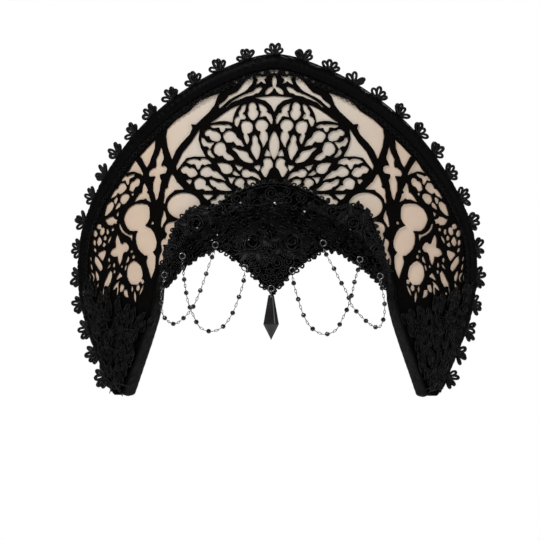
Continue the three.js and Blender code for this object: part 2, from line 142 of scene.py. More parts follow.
def offset(curve, f, distance):
    f = np.asarray(f, float)
    tangent = curve(f + 1e-3) - curve(f - 1e-3)
    tangent /= np.linalg.norm(tangent, axis=-1, keepdims=True)
    normal = np.stack([-tangent[..., 1], tangent[..., 0]], -1)
    return curve(f) + normal * np.asarray(distance)[..., None]


def rim_share(f):
    along = np.maximum(np.abs(f) - TAPER_FROM, 0) / (1 - TAPER_FROM)
    return 1 - (1 - TIP_SHARE) * along * along


def board_inner(f, extra=0.0):
    return offset(arch, f, np.full(np.shape(f), HEADBAND_THICKNESS + GAP + extra))


def board_outer(f, extra=0.0):
    return offset(outline, f, -RIM_WIDTH * rim_share(f) - GAP - extra)


def even_steps(curve, count, start=-1.0, end=1.0):
    """Parameters that split a curve into equal lengths."""
    fine = np.linspace(start, end, 2001)
    length = np.concatenate([[0], np.cumsum(np.linalg.norm(np.diff(curve(fine), axis=0), axis=1))])
    return np.interp(np.linspace(0, length[-1], count), length, fine), length[-1]


# ------------------------------------------------------------------ meshes
class Shape:
    """Points, faces and texture coordinates gathered for one mesh."""

    def __init__(self):
        self.points = []
        self.faces = []
        self.uvs = []
        self.slots = []
        self.count = 0
        self.latest = 0

    def add(self, points, faces, uv=None, slot=0):
        points = np.asarray(points, float).reshape(-1, 3)
        self.points.append(points)
        self.uvs.append(np.zeros((len(points), 2)) if uv is None else np.asarray(uv, float).reshape(-1, 2))
        self.faces.extend([tuple(int(k) + self.count for k in face) for face in faces])
        self.slots.extend([slot] * len(faces))
        self.latest = self.count
        self.count += len(points)

    def grid(self, points, uv, wrap=False, slot=0, flip=False):
        """A surface of rows of points; wrap joins the last column to the first."""
        rows, columns = points.shape[:2]
        i, j = np.meshgrid(np.arange(rows - 1), np.arange(columns if wrap else columns - 1), indexing="ij")
        k = (j + 1) % columns
        quads = np.stack([i * columns + j, i * columns + k, (i + 1) * columns + k, (i + 1) * columns + j], -1)
        quads = quads.reshape(-1, 4)
        self.add(points, quads[:, ::-1] if flip else quads, uv, slot)

    def slab(self, front, back, uv, slot=0, back_slot=None, flip=False):
        """A thin sheet between two like grids of points, closed round its edge."""
        self.grid(front, uv, slot=slot, flip=flip)
        self.grid(back, uv, slot=slot if back_slot is None else back_slot, flip=not flip)
        edges = [np.concatenate([side[:, 0], side[-1, 1:], side[-2::-1, -1], side[0, -2::-1]]) for side in (front, back)]
        ring = np.stack(edges, 1)
        self.grid(ring, np.zeros(ring.shape[:2] + (2,)), slot=slot, flip=flip)

    def close_ends(self, sides, flip=False):
        """Caps the first and last rows of the grid added last, each a ring of that many points."""
        first, last = self.latest, self.count - sides
        ends = [tuple(range(first, first + sides))[::-1], tuple(range(last, last + sides))]
        self.faces.extend([end[::-1] for end in ends] if flip else ends)
        self.slots.extend([0, 0])

    def tube(self, path, radius, sides=6, closed=False, slot=0, squash=1.0, normal=None):
        """A round bar along a path; radius may vary; squash flattens it along the normal given."""
        path = np.asarray(path, float)
        count = len(path)
        tangent = np.roll(path, -1, 0) - np.roll(path, 1, 0) if closed else np.gradient(path, axis=0)
        tangent /= np.maximum(np.linalg.norm(tangent, axis=1, keepdims=True), 1e-9)
        side = np.zeros_like(path)
        seed = np.array([0.0, 0.0, 1.0]) if abs(tangent[0, 2]) < 0.9 else np.array([1.0, 0.0, 0.0])
        previous = np.cross(tangent[0], seed)
        for n in range(count):
            if normal is not None:
                previous = np.cross(tangent[n], normal[n])
            previous = previous - tangent[n] * previous.dot(tangent[n])
            previous /= max(np.linalg.norm(previous), 1e-9)
            side[n] = previous
        other = np.cross(side, tangent)
        radius = np.broadcast_to(np.asarray(radius, float), (count,))[:, None, None]
        angle = np.arange(sides) * 2 * math.pi / sides
        ring = side[:, None] * np.cos(angle)[None, :, None] + other[:, None] * np.sin(angle)[None, :, None] * squash
        points = path[:, None] + radius * ring
        length = np.concatenate([[0], np.cumsum(np.linalg.norm(np.diff(path, axis=0), axis=1))])
        uv = np.stack(np.broadcast_arrays(length[:, None], np.arange(sides)[None] / sides), -1)
        if closed:
            points = np.concatenate([points, points[:1]])
            uv = np.concatenate([uv, uv[:1]])
        self.grid(points, uv, wrap=True, slot=slot)
        if not closed:
            last = self.count - sides
            first = self.count - sides * count
            self.faces.append(tuple(range(first, first + sides))[::-1])
            self.faces.append(tuple(range(last, last + sides)))
            self.slots.extend([slot, slot])


WELD = 1e-7


def make_piece(name, shape, materials, body="headdress", smooth_angle=50):
    mesh = bpy.data.meshes.new(name)
    mesh.from_pydata((np.concatenate(shape.points) * MM).tolist(), [], shape.faces)
    for material in materials:
        mesh.materials.append(material)
    mesh.polygons.foreach_set("material_index", np.array(shape.slots, np.int32))
    mesh.polygons.foreach_set("use_smooth", np.ones(len(mesh.polygons), bool))
    corner = np.empty(len(mesh.loops), np.int32)
    mesh.loops.foreach_get("vertex_index", corner)
    layer = mesh.uv_layers.new(name="millimetres")
    layer.data.foreach_set("uv", np.concatenate(shape.uvs)[corner].astype(np.float32).ravel())
    joined = bmesh.new()
    joined.from_mesh(mesh)
    bmesh.ops.remove_doubles(joined, verts=joined.verts, dist=WELD)
    joined.to_mesh(mesh)
    joined.free()
    mesh.set_sharp_from_angle(angle=math.radians(smooth_angle))
    mesh.validate()
    mesh.update()
    piece = bpy.data.objects.new(name, mesh)
    bpy.context.collection.objects.link(piece)
    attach(piece, body)
    return piece


# ------------------------------------------------------------------ materials
class Look:
    """A material's node tree, built a node at a time."""

    def __init__(self, name, color, roughness, metallic=0.0):
        self.material = bpy.data.materials.new(name)
        self.material.use_nodes = True
        self.tree = self.material.node_tree
        self.shader = self.tree.nodes["Principled BSDF"]
        self.shader.inputs["Base Color"].default_value = (*color, 1)
        self.shader.inputs["Roughness"].default_value = roughness
        self.shader.inputs["Metallic"].default_value = metallic
        self.coordinates = self.node("ShaderNodeTexCoord")

    def node(self, kind, settings=None, **inputs):
        made = self.tree.nodes.new(kind)
        for key, value in (settings or {}).items():
            setattr(made, key, value)
        for key, value in inputs.items():
            socket = made.inputs[key.replace("_", " ")]
            if isinstance(value, bpy.types.NodeSocket):
                self.tree.links.new(value, socket)
            else:
                socket.default_value = value
        return made

    def place(self, source="UV", scale=(1, 1, 1)):
        return self.node("ShaderNodeMapping", Vector=self.coordinates.outputs[source], Scale=scale).outputs[0]

    def noise(self, scale, detail=3.0, source="Object", stretch=(1, 1, 1), roughness=0.55):
        vector = self.place(source, stretch)
        return self.node("ShaderNodeTexNoise", Vector=vector, Scale=scale, Detail=detail,
                         Roughness=roughness).outputs["Fac"]

    def wave(self, scale, stretch=(1, 1, 1), direction="X", distortion=0.0):
        settings = {"wave_type": "BANDS", "bands_direction": direction, "wave_profile": "SIN"}
        return self.node("ShaderNodeTexWave", settings, Vector=self.place("UV", stretch), Scale=scale,
                         Distortion=distortion).outputs["Fac"]

    def math(self, operation, a, b=0.5):
        made = self.node("ShaderNodeMath", {"operation": operation})
        for socket, value in zip(made.inputs, (a, b)):
            if isinstance(value, bpy.types.NodeSocket):
                self.tree.links.new(value, socket)
            else:
                socket.default_value = value
        return made.outputs[0]

    def ramp(self, factor, stops):
        made = self.node("ShaderNodeValToRGB", Fac=factor)
        elements = made.color_ramp.elements
        while len(elements) < len(stops):
            elements.new(0.5)
        for element, (position, color) in zip(elements, stops):
            element.position = position
            element.color = (*color, 1) if len(color) == 3 else color
        return made.outputs["Color"]

    def grey_ramp(self, factor, low, high, start=0.3, end=0.7):
        return self.ramp(factor, [(start, (low,) * 3), (end, (high,) * 3)])

    def feed(self, socket, value):
        self.tree.links.new(value, self.shader.inputs[socket])

    def bump(self, height, strength, distance, after=None):
        made = self.node("ShaderNodeBump", Height=height, Strength=strength, Distance=distance * MM)
        if after is not None:
            self.tree.links.new(after, made.inputs["Normal"])
        self.feed("Normal", made.outputs[0])
        return made.outputs[0]

    def set(self, **values):
        for key, value in values.items():
            self.shader.inputs[key.replace("_", " ")].default_value = value
        return self


def nude_satin(name, greyed):
    look = Look(name, (0.47, 0.37, 0.29), 0.5)
    look.set(Sheen_Weight=0.1, Sheen_Roughness=0.4, Specular_IOR_Level=0.25)
    cloud = look.noise(28, 4)
    warm = look.ramp(cloud, [(0.25, (0.455, 0.35, 0.268)), (0.75, (0.51, 0.398, 0.308))])
    if greyed:
        cool = look.ramp(cloud, [(0.25, (0.425, 0.375, 0.318)), (0.75, (0.48, 0.425, 0.362))])
        rose = look.node("ShaderNodeVectorMath", {"operation": "DISTANCE"})
        look.tree.links.new(look.coordinates.outputs["Object"], rose.inputs[0])
        rose.inputs[1].default_value = (0, 0.01, 0.045)
        far = look.grey_ramp(rose.outputs["Value"], 0.0, 1.0, 0.062, 0.1)
        mixed = look.node("ShaderNodeMix", {"data_type": "RGBA"})
        for socket, value in ((mixed.inputs[0], far), (mixed.inputs[6], cool), (mixed.inputs[7], warm)):
            look.tree.links.new(value, socket)
        warm = mixed.outputs[2]
    look.feed("Base Color", warm)
    look.feed("Roughness", look.grey_ramp(look.noise(90, 3), 0.42, 0.6))
    warp = look.wave(1.15, distortion=0.4)
    weft = look.wave(1.15, direction="Y", distortion=0.4)
    weave = look.bump(look.math("ADD", warp, look.math("MULTIPLY", weft, 0.6)), 0.25, 0.12)
    look.bump(look.noise(55, 5), 0.25, 0.8, weave)
    return look.material


def black_felt():
    look = Look("black_felt", (0.004, 0.0036, 0.0036), 0.9)
    look.set(Sheen_Weight=0.0, Sheen_Roughness=0.6, Specular_IOR_Level=0.02)
    fibres = look.noise(1500, 4, stretch=(1, 1, 0.35))
    look.feed("Base Color", look.ramp(fibres, [(0.3, (0.0006, 0.0005, 0.0005)), (0.72, (0.003, 0.0025, 0.0022))]))
    look.feed("Roughness", look.grey_ramp(look.noise(200, 3), 0.75, 0.95))
    look.bump(fibres, 0.5, 0.2)
    return look.material


def felt_edge():
    look = Look("felt_edge", (0.02, 0.012, 0.008), 0.9)
    look.set(Specular_IOR_Level=0.05)
    layers = look.noise(900, 3, stretch=(1, 1, 1))
    look.feed("Base Color", look.ramp(layers, [(0.3, (0.01, 0.006, 0.004)), (0.7, (0.04, 0.024, 0.016))]))
    look.bump(layers, 0.4, 0.2)
    return look.material


def black_cloth(name, base, roughness, gloss, sheen, weave, rough_scale=240):
    """Dyed black cloth or cord: uneven dye, uneven gloss and a fine bump."""
    look = Look(name, (base, base * 0.95, base), sum(roughness) / 2)
    look.set(Sheen_Weight=sheen, Sheen_Roughness=0.4, Specular_IOR_Level=gloss)
    cloud = look.noise(60, 3)
    low, high = base * 0.6, base * 1.5
    look.feed("Base Color", look.ramp(cloud, [(0.3, (low, low * 0.94, low)), (0.7, (high, high * 0.95, high))]))
    look.feed("Roughness", look.grey_ramp(look.noise(rough_scale, 3), *roughness))
    after = weave(look)
    look.bump(look.noise(420, 4), 0.3, 0.35, after)
    return look.material


def satin_weave(look):
    return look.bump(look.math("ADD", look.wave(1.6), look.wave(1.6, direction="Y")), 0.2, 0.1)


def cord_twist(look):
    """Strands laid round a cord: bands across both its length and its girth."""
    lay = look.node("ShaderNodeTexWave", {"wave_type": "BANDS", "bands_direction": "DIAGONAL"},
                    Vector=look.place("UV", (1, 2.2, 1)), Scale=0.8)
    return look.bump(lay.outputs["Fac"], 0.4, 0.2)


def lace_mesh(look):
    """Net of the lace's ground."""
    net = look.math("MAXIMUM", look.wave(0.9), look.wave(0.9, direction="Y"))
    return look.bump(net, 0.8, 0.4)


def jet():
    look = Look("jet_beads", (0.005, 0.005, 0.0055), 0.1)
    look.set(Specular_IOR_Level=0.3)
    look.feed("Roughness", look.grey_ramp(look.noise(700, 3), 0.06, 0.2))
    look.feed("Base Color", look.ramp(look.noise(300, 2), [(0.3, (0.003, 0.003, 0.0035)), (0.7, (0.008, 0.0075, 0.008))]))
    look.bump(look.noise(900, 2), 0.1, 0.1)
    return look.material


def steel():
    look = Look("dark_steel", (0.3, 0.3, 0.31), 0.28, metallic=1.0)
    look.feed("Base Color", look.ramp(look.noise(500, 3), [(0.3, (0.04, 0.04, 0.042)), (0.7, (0.24, 0.24, 0.25))]))
    look.feed("Roughness", look.grey_ramp(look.noise(800, 3), 0.18, 0.42))
    look.bump(look.noise(1600, 3), 0.15, 0.08)
    return look.material


def crystal():
    look = Look("black_crystal", (0.006, 0.0055, 0.006), 0.06)
    look.set(Specular_IOR_Level=0.3)
    look.feed("Roughness", look.grey_ramp(look.noise(400, 2), 0.03, 0.1))
    look.feed("Base Color", look.ramp(look.noise(120, 2), [(0.3, (0.004, 0.0035, 0.004)), (0.7, (0.012, 0.01, 0.011))]))
    return look.material


def spark():
    look = Look("seed_crystal", (0.75, 0.76, 0.8), 0.05, metallic=0.85)
    look.feed("Roughness", look.grey_ramp(look.noise(700, 2), 0.03, 0.12))
    return look.material


NUDE = nude_satin("nude_satin", greyed=True)
NUDE_BACK = nude_satin("nude_satin_back", greyed=False)
FELT = black_felt()
FELT_EDGE = felt_edge()
SATIN = black_cloth("black_satin", 0.0008, (0.34, 0.6), 0.035, 0.002, satin_weave)
SATIN_LEAF = black_cloth("black_organza", 0.0008, (0.24, 0.42), 0.085, 0.002, satin_weave)
CORD = black_cloth("black_cord", 0.0008, (0.24, 0.4), 0.13, 0.002, cord_twist)
LACE = black_cloth("black_lace", 0.001, (0.6, 0.85), 0.01, 0.0, lace_mesh)
JET = jet()
STEEL = steel()
CRYSTAL = crystal()
SPARK = spark()


# ------------------------------------------------------------------ board under the tracery
def make_board():
    """Smooth satin over the board, front and back, a little uneven where it's drawn tight."""
    shape = Shape()
    f = even_steps(outline, 260)[0]
    rows = np.linspace(0, 1, 40)
    inner, outer = board_inner(f), board_outer(f, -1.5)
    flat = inner[:, None] + (outer - inner)[:, None] * rows[None, :, None]
    u, v = flat[..., 0], flat[..., 1]
    pull = 0.12 * np.sin(u * 0.21 + 2 * np.sin(v * 0.05)) * np.sin(v * 0.13 + np.sin(u * 0.04))
    edge = np.minimum(rows, 1 - rows)[None] * 12
    front = on_board(u, v, np.minimum(edge, 1) * 0.2 - 0.2 + pull * 0.5)
    back = on_board(u, v, np.full(u.shape, -float(BOARD_THICKNESS)) - pull)
    shape.slab(front, back, flat, back_slot=1, flip=True)
    piece = make_piece("satin_board", shape, [NUDE, NUDE_BACK])
    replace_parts(piece, "board")


# ------------------------------------------------------------------ tracery
# Openings of one side, charted on the flat board; the other side mirrors them. A foil is
# (u, v, half width, half height, turn), a leaf is two points and a width, a drop is two round ends,
# a curl is a bent leaf, and a light is a panel between bars.
FOILS = [
    (29.5, 17, 1.4, 1.4), (35, 8.5, 1.3, 1.3), (1.5, 115, 1.6, 1.6), (10, 114, 1.3, 1.3),
    (25.5, 110, 1, 1), (31, 106.5, 1, 1), (124, 18.5, 1.1, 0.8), (146, -9.5, 1.4, 1),
    (103.5, -6, 1.1, 0.9), (124.5, -28.5, 1.1, 0.8), (122.5, -33, 1.2, 1.2),
    (150, -34.5, 1.1, 1.6, -20), (144, -39, 1.1, 1.6), (135, -40.5, 0.9, 0.7), (143.5, -44.5, 1.1, 1.1),
    (117.5, -58.5, 1.7, 2.1), (113, -53.5, 1.4, 1.5), (153, -62, 1.1, 0.7), (155.5, -68.5, 1.1, 0.7),
    (75, 7, 14.3, 10.1),
]
LEAVES = [
    ((0, 65.5), (0, 43.5), 7.4), ((0, 110.5), (0, 101), 2.8), ((1, 101.5), (7, 96), 3.2),
    ((0, 50.5), (0, 44.5), 2.7), ((148, -38.5), (152, -41.5), 1.3), ((156, -56.5), (158.5, -70), 1.7),
    ((138, -53), (145, -59.5), 2.2), ((139, -55.5), (140, -64.5), 1.5),
    ((123.5, -57), (123.5, -61.5), 1.6), ((121, -61.5), (120, -70), 1.7),
    ((112, -56.5), (116, -64.5), 1.2), ((170.5, -59), (166, -64), 2.1),
    ((174.5, -62.5), (171.5, -66), 1.6), ((173, -71), (170.5, -78), 2),
    ((130, -39.5), (131.5, -44), 1.5), ((170, -24), (166.5, -27), 2.2),
    ((175, -30.5), (173, -34.5), 1.6), ((174, -36.5), (171.5, -42.5), 1.8),
    ((78.5, -7.5), (91, -26), 9.5), ((85.5, -23), (97, -40), 7.5),
]
DROPS = [
    ((87, -11), 4.5, (79.5, -9.5), 4.3), ((92, -22.5), 3.1, (90, -29), 3.8),
]
CURLS = [
    ([(173.5, -44), (169.5, -48), (171.5, -52)], 1.8),
    ([(176, -45), (174.5, -48.5), (175.5, -52)], 1.1),
]
LIGHTS = [
    [(-14.5, 93), (0, 94), (14.5, 93), (7, 91), (2, 86.5), (0, 82), (-2, 86.5), (-7, 91)],
    [(18, 89), (16.5, 89), (15, 87), (14.5, 85), (15, 83.5), (13.5, 82), (13, 80), (14, 77.5),
    (16.5, 75), (18, 75.5), (19.5, 77), (21, 79.5), (21, 81.5), (20, 83), (20.5, 85.5), (20, 87.5),
    (19, 88.5)],
    [(24, 87.5), (23, 87), (23.5, 85), (24, 82.5), (25.5, 81), (26, 79.5), (24.5, 79.5), (23, 77),
    (24, 76), (27, 76), (28, 78), (28.5, 81), (28, 82.5), (26.5, 84), (26, 86)],
    [(29, 78), (27.5, 76.5), (28, 74), (29.5, 70.5), (30, 70), (31.5, 71.5), (32, 74.5), (31, 77)],
    [(12.5, 88), (10, 87), (7.5, 85.5), (6, 83), (6.5, 81.5), (5.5, 80.5), (3.5, 80), (2.5, 78),
    (1.5, 75), (2, 72), (2.5, 72), (3.5, 74), (5, 76), (6, 78), (7.5, 78.5), (9.5, 78), (11.5, 77.5),
    (11, 79), (10.5, 81.5), (9.5, 82), (11.5, 83), (11.5, 85)],
    [(25.5, 73.5), (23, 74), (20, 73.5), (18, 71.5), (17.5, 68.5), (18, 66), (20, 64.5), (22, 64.5),
    (22, 63), (21, 62), (20.5, 60), (20.5, 58), (21.5, 56), (22, 56), (23.5, 59.5), (24.5, 62.5),
    (24, 64), (25.5, 66), (26, 68), (26.5, 71)],
    [(13, 74.5), (11.5, 75), (8.5, 75), (6.5, 73.5), (5, 71), (6, 68), (7.5, 67), (7.5, 66), (6, 64.5),
    (5.5, 62), (5.5, 59), (7, 56.5), (8.5, 53.5), (9, 53), (9, 55), (10, 57.5), (11.5, 60.5),
    (11.5, 62.5), (10.5, 65), (11, 66.5), (12.5, 66.5), (14, 68), (15, 70.5), (14.5, 72.5)],
    [(15.5, 63), (14.5, 61.5), (13.5, 59.5), (13.5, 57), (12.5, 55), (11.5, 53), (11.5, 50), (12, 47),
    (13, 44), (14, 43), (15, 45), (17, 48), (18.5, 51), (18.5, 53), (17.5, 55), (17, 57), (17.5, 59),
    (17, 61.5)],
    [(6, 51), (4, 49), (3, 46), (7.5, 46), (6.5, 49)],
    [(7, 43.5), (4.5, 44), (2.5, 42.5), (1.5, 40), (1.5, 37), (3.5, 35.5), (4.5, 33.5), (5, 32),
    (6.5, 29), (7.5, 29.5), (9.5, 32.5), (10.5, 35), (9.5, 36.5), (8, 38), (8, 40), (8.5, 42)],
    [(52, 71), (49.5, 71.5), (46, 71.5), (42.5, 71.5), (40.5, 71), (39, 71.5), (37, 71.5), (35, 70),
    (34, 69.5), (35, 69), (37.5, 69), (39, 69.5), (40, 69), (40, 67.5), (41.5, 66), (42.5, 66),
    (43.5, 67), (44, 69), (45, 70), (48.5, 69.5), (50.5, 70)],
    [(55, 67.5), (52.5, 68), (51, 67), (50, 66.5), (48, 66.5), (46, 65.5), (44, 63.5), (43.5, 61),
    (44.5, 59), (46.5, 58.5), (50.5, 59.5), (52, 61), (52.5, 62.5), (53, 63.5), (54.5, 63), (56.5, 64),
    (56.5, 66)],
    [(36.5, 66.5), (34.5, 66), (32, 64.5), (31, 62.5), (30.5, 61), (29, 60), (27, 58.5), (26, 56.5),
    (24.5, 54), (25.5, 54), (27.5, 55), (30, 55), (32, 57.5), (33, 58.5), (34, 57.5), (38, 57.5),
    (39.5, 59), (41, 61.5), (41, 63.5), (39, 65.5)],
    [(59.5, 61.5), (57.5, 61), (56.5, 59), (54.5, 57.5), (53, 57), (51, 57.5), (49, 57.5), (49.5, 56.5),
    (51, 55), (52, 53), (52.5, 52.5), (53.5, 54), (55, 55), (57.5, 55), (58.5, 56.5), (59.5, 58.5)],
    [(53.5, 52), (52, 51), (51.5, 49), (49.5, 46.5), (48.5, 45.5), (50, 45.5), (52, 46.5), (54, 48.5),
    (54.5, 50), (54, 51)],
    [(43.5, 57.5), (41, 56.5), (40, 54.5), (39, 51.5), (39.5, 50), (39, 49), (37, 47.5), (35, 46.5),
    (32.5, 43.5), (34.5, 43), (37.5, 43), (39.5, 44.5), (41, 45.5), (41, 47), (42.5, 47), (44.5, 46.5),
    (46.5, 48), (48.5, 49.5), (49, 52.5), (48, 55), (46, 57)],
    [(34, 52.5), (31.5, 52.5), (29.5, 51), (27.5, 50.5), (25, 50), (23, 49.5), (21, 47.5), (20.5, 45),
    (18, 43), (17, 41), (18, 40.5), (21, 41), (24, 42), (26.5, 44), (28, 46), (29.5, 48.5),
    (31.5, 50.5)],
    [(72.5, 42.5), (70, 44), (66.5, 44.5), (63, 44), (61.5, 43), (60.5, 43), (59.5, 44.5), (57, 44.5),
    (54.5, 43.5), (52.5, 42), (51.5, 40.5), (54, 40.5), (56.5, 39.5), (58.5, 40.5), (60, 39.5),
    (61, 37), (62.5, 36), (63.5, 37.5), (64.5, 40), (66, 41), (68, 40.5), (70, 41.5)],
    [(73.5, 39), (71.5, 38.5), (70.5, 37), (68, 37.5), (65.5, 36.5), (64, 34.5), (63, 32.5), (64.5, 31),
    (68, 30), (70.5, 31), (72.5, 33.5), (75, 33.5), (76.5, 34.5), (77.5, 36.5), (76, 38)],
    [(60, 35), (58, 37), (55, 38), (52.5, 37), (51, 35), (49.5, 34), (47, 34), (45, 32), (43, 30.5),
    (39.5, 26.5), (42.5, 28), (45.5, 28.5), (49, 29.5), (51, 31), (53.5, 30), (56, 30), (59.5, 31.5),
    (60.5, 33.5)],
    [(63.5, 28), (61, 29), (58, 28), (56, 26), (56, 24), (56.5, 22.5), (54, 22.5), (52.5, 21), (50, 19),
    (56, 19), (58, 20.5), (62, 20), (64, 20.5), (65, 23), (65.5, 25), (65, 27)],
    [(52.5, 27.5), (49.5, 27), (47.5, 25.5), (45, 24.5), (42.5, 25), (40.5, 24.5), (38.5, 22),
    (36.5, 20.5), (34.5, 18.5), (39, 18.5), (43, 19), (46, 20), (47.5, 22), (49, 22), (51, 23.5),
    (52, 25.5)],
    [(46, 40.5), (42.5, 40.5), (38.5, 40), (35.5, 38.5), (34, 36), (34, 34), (35.5, 32.5), (38, 32),
    (40.5, 32.5), (42.5, 34.5), (43.5, 37)],
    [(33.5, 32.5), (32, 34), (30.5, 33), (29, 31.5), (27.5, 30.5), (30.5, 30.5), (32.5, 31.5)],
    [(31.5, 39), (29, 38), (25, 37), (26.5, 36), (27.5, 34.5), (29, 35.5), (30, 37.5)],
    [(26, 32.5), (25, 34.5), (23, 35), (21, 34.5), (19.5, 33), (18, 33), (15.5, 32.5), (13.5, 31),
    (11.5, 28), (11, 26.5), (13, 28), (15, 29), (17.5, 30), (19, 30), (20.5, 29), (23, 29), (25, 30)],
    [(16, 37.5), (13.5, 38), (11.5, 38.5), (11.5, 36), (12.5, 34), (14.5, 36)],
    [(31.5, 25), (30, 27), (27.5, 28), (25.5, 27.5), (24, 25), (24.5, 23.5), (25, 22.5), (24, 22),
    (21, 19.5), (25, 19.5), (27.5, 20), (29, 22), (31, 23)],
    [(21.5, 26.5), (19.5, 27), (16, 26.5), (14.5, 24.5), (13.5, 22.5), (12.5, 21.5), (14, 21.5),
    (17, 22), (19.5, 23), (21, 24)],
    [(37, 29), (35, 28.5), (31, 28.5), (33, 27), (34, 24), (35.5, 25.5), (36, 27.5)],
    [(72.5, 27.5), (70.5, 28), (68, 27.5), (68.5, 25.5), (69.5, 24.5), (71, 26)],
    [(58, 15.5), (53, 15), (49.5, 15), (51.5, 13), (53.5, 11.5), (55.5, 12.5)],
    [(34.5, 15), (36.5, 12.5), (38.5, 10), (41.5, 8), (44, 7.5), (46.5, 8), (49, 7.5), (50.5, 8),
    (51.5, 10), (50, 11), (47.5, 11), (46, 13.5), (44, 15), (39, 15)],
    [(55.5, 6.5), (53.5, 4), (54.5, 2.5), (55.5, 1.5), (56.5, 3)],
    [(28, 87), (32, 85.5), (36, 83.5), (40, 81), (43, 79), (47, 76), (51.5, 73.5), (47.5, 74.5),
    (44.5, 75), (40, 75), (36.5, 74.5), (34, 73.5), (33.5, 77), (32.5, 80.5), (30.5, 84.5)],
    [(18, 110), (17.5, 108.5), (17.5, 106), (18.5, 104), (20.5, 102), (22, 100), (24, 98.5), (27, 97),
    (30, 95.5), (32.5, 94.5), (35, 93), (37.5, 91.5), (39.5, 89.5), (42.5, 87), (44.5, 85.5), (45, 86),
    (44.5, 88), (42, 89.5), (40, 91), (38.5, 92.5), (37, 95), (34, 96), (30.5, 97.5), (28, 100),
    (26, 102.5), (24.5, 104.5), (23.5, 105.5), (23, 107), (20.5, 108)],
    [(11, 101.5), (10, 101), (11.5, 98.5), (13, 97), (15, 97), (17, 95.5), (20, 95), (23, 94.5),
    (26, 93), (29, 92), (32.5, 90.5), (35, 89.5), (37, 87.5), (38.5, 86), (39, 86), (37, 87.5),
    (34.5, 90), (31, 92), (27.5, 94), (24, 95.5), (21, 96.5), (17, 98), (15, 100), (13, 101)],
    [(14.5, 110.5), (12, 110.5), (10, 109.5), (8, 110), (6, 110), (8, 108.5), (8.5, 107.5), (7, 104.5),
    (9, 105.5), (10.5, 107), (12, 105.5), (14.5, 104), (13.5, 106.5), (12.5, 108), (14, 109)],
    [(44.5, 97), (61.5, 92), (70, 83.5), (82.5, 76.5), (90, 70), (91, 64.5), (89.5, 55.5), (85.5, 45.5),
    (82.5, 52), (78, 57.5), (70, 65), (68, 69.5), (69, 73.5), (64.5, 73), (60.5, 76.5), (53.5, 82.5),
    (49, 88), (46.5, 95)],
    [(61.5, 68), (62.5, 60.5), (60.5, 53.5), (56.5, 46.5), (65.5, 47), (72.5, 46), (81, 36.5),
    (81.5, 39.5), (75.5, 50.5), (68, 58.5)],
    [(101.5, 61.5), (102, 58.5), (102, 55.5), (103.5, 51.5), (105.5, 47.5), (107, 43.5), (109.5, 40),
    (111.5, 42.5), (113.5, 46), (115, 48.5), (116.5, 49.5), (113, 52), (109, 55.5), (105.5, 58.5)],
    [(96, 55.5), (95, 53), (94.5, 50.5), (93.5, 48), (93.5, 45.5), (95, 43), (96, 40.5), (95.5, 40),
    (92.5, 40), (90.5, 38.5), (90.5, 36.5), (91.5, 34.5), (94.5, 34), (97, 33.5), (97, 31), (95.5, 28),
    (96.5, 24.5), (97, 20.5), (98, 17.5), (98.5, 14.5), (100, 12.5), (101, 14.5), (101.5, 17.5),
    (103, 20.5), (103, 24), (103, 27), (101.5, 30.5), (100.5, 32.5), (104, 32.5), (106.5, 32.5),
    (107.5, 34), (106.5, 36.5), (103.5, 38.5), (100.5, 39), (100, 41.5), (100, 43.5), (100.5, 45.5),
    (99, 48), (97.5, 50.5), (96.5, 53.5)],
    [(121.5, 46), (119.5, 43.5), (117, 40.5), (115, 37.5), (113.5, 34.5), (113.5, 33.5), (115.5, 35),
    (118.5, 36), (122.5, 37.5), (126.5, 37.5), (130, 36.5), (127, 39), (124.5, 42.5)],
    [(86, 32.5), (84.5, 32), (83, 29.5), (81.5, 27), (82, 26.5), (80, 25.5), (78, 23.5), (75, 20.5),
    (78.5, 20.5), (83, 20.5), (84, 19), (86.5, 17.5), (89, 15.5), (91, 13), (92, 9.5), (93, 10.5),
    (92, 15), (92, 18.5), (91.5, 21), (88.5, 22.5), (89, 24.5), (88, 27.5), (87, 30.5)],
    [(136, 30), (135.5, 31.5), (133, 33.5), (131.5, 34), (130, 33), (128, 34), (125.5, 34.5), (122, 35),
    (122.5, 33.5), (124.5, 32.5), (127, 32), (128, 30), (128, 27.5), (129.5, 26.5), (131, 28.5),
    (132, 31), (133.5, 30.5)],
    [(120, 31), (117.5, 31), (116.5, 29), (117, 26.5), (118.5, 25), (121, 24.5), (122, 23), (123.5, 21),
    (126, 21.5), (127.5, 22.5), (127, 24.5), (126.5, 27), (125, 28.5), (122, 29), (122, 30)],
    [(133, 28), (131.5, 26), (130.5, 24), (132.5, 22), (135, 20.5), (138, 19.5), (139.5, 20.5),
    (140.5, 21.5), (141, 20), (142.5, 18.5), (145.5, 17.5), (149, 16.5), (147.5, 18.5), (145.5, 21),
    (143.5, 23), (140, 24), (139, 26.5), (137, 28)],
    [(112, 27), (110.5, 24.5), (109, 22), (108.5, 21), (109.5, 19.5), (109.5, 18.5), (107.5, 17.5),
    (107, 15), (105.5, 11.5), (107.5, 12.5), (109.5, 13.5), (110, 15), (112, 14), (116, 14),
    (119.5, 13), (122, 12), (120.5, 14), (118.5, 16.5), (116.5, 18.5), (114, 19), (114, 20.5),
    (113.5, 23), (113, 25.5)],
    [(130, 19), (128, 18), (127.5, 16), (129, 14), (131, 12), (133.5, 11), (135.5, 11.5), (137.5, 13.5),
    (137.5, 15.5), (136, 18), (133, 19)],
    [(142, 17), (140.5, 16), (141, 14), (142, 12), (143.5, 11.5), (144.5, 13.5), (145, 15)],
    [(138.5, 12.5), (137, 11), (138, 9), (141, 7.5), (143, 7), (142.5, 9), (141, 11)],
    [(148, 13.5), (145, 12.5), (145, 10), (146.5, 7.5), (149.5, 5), (153, 3), (156, 2.5), (155.5, 5),
    (154.5, 7.5), (153, 11), (150.5, 12.5)],
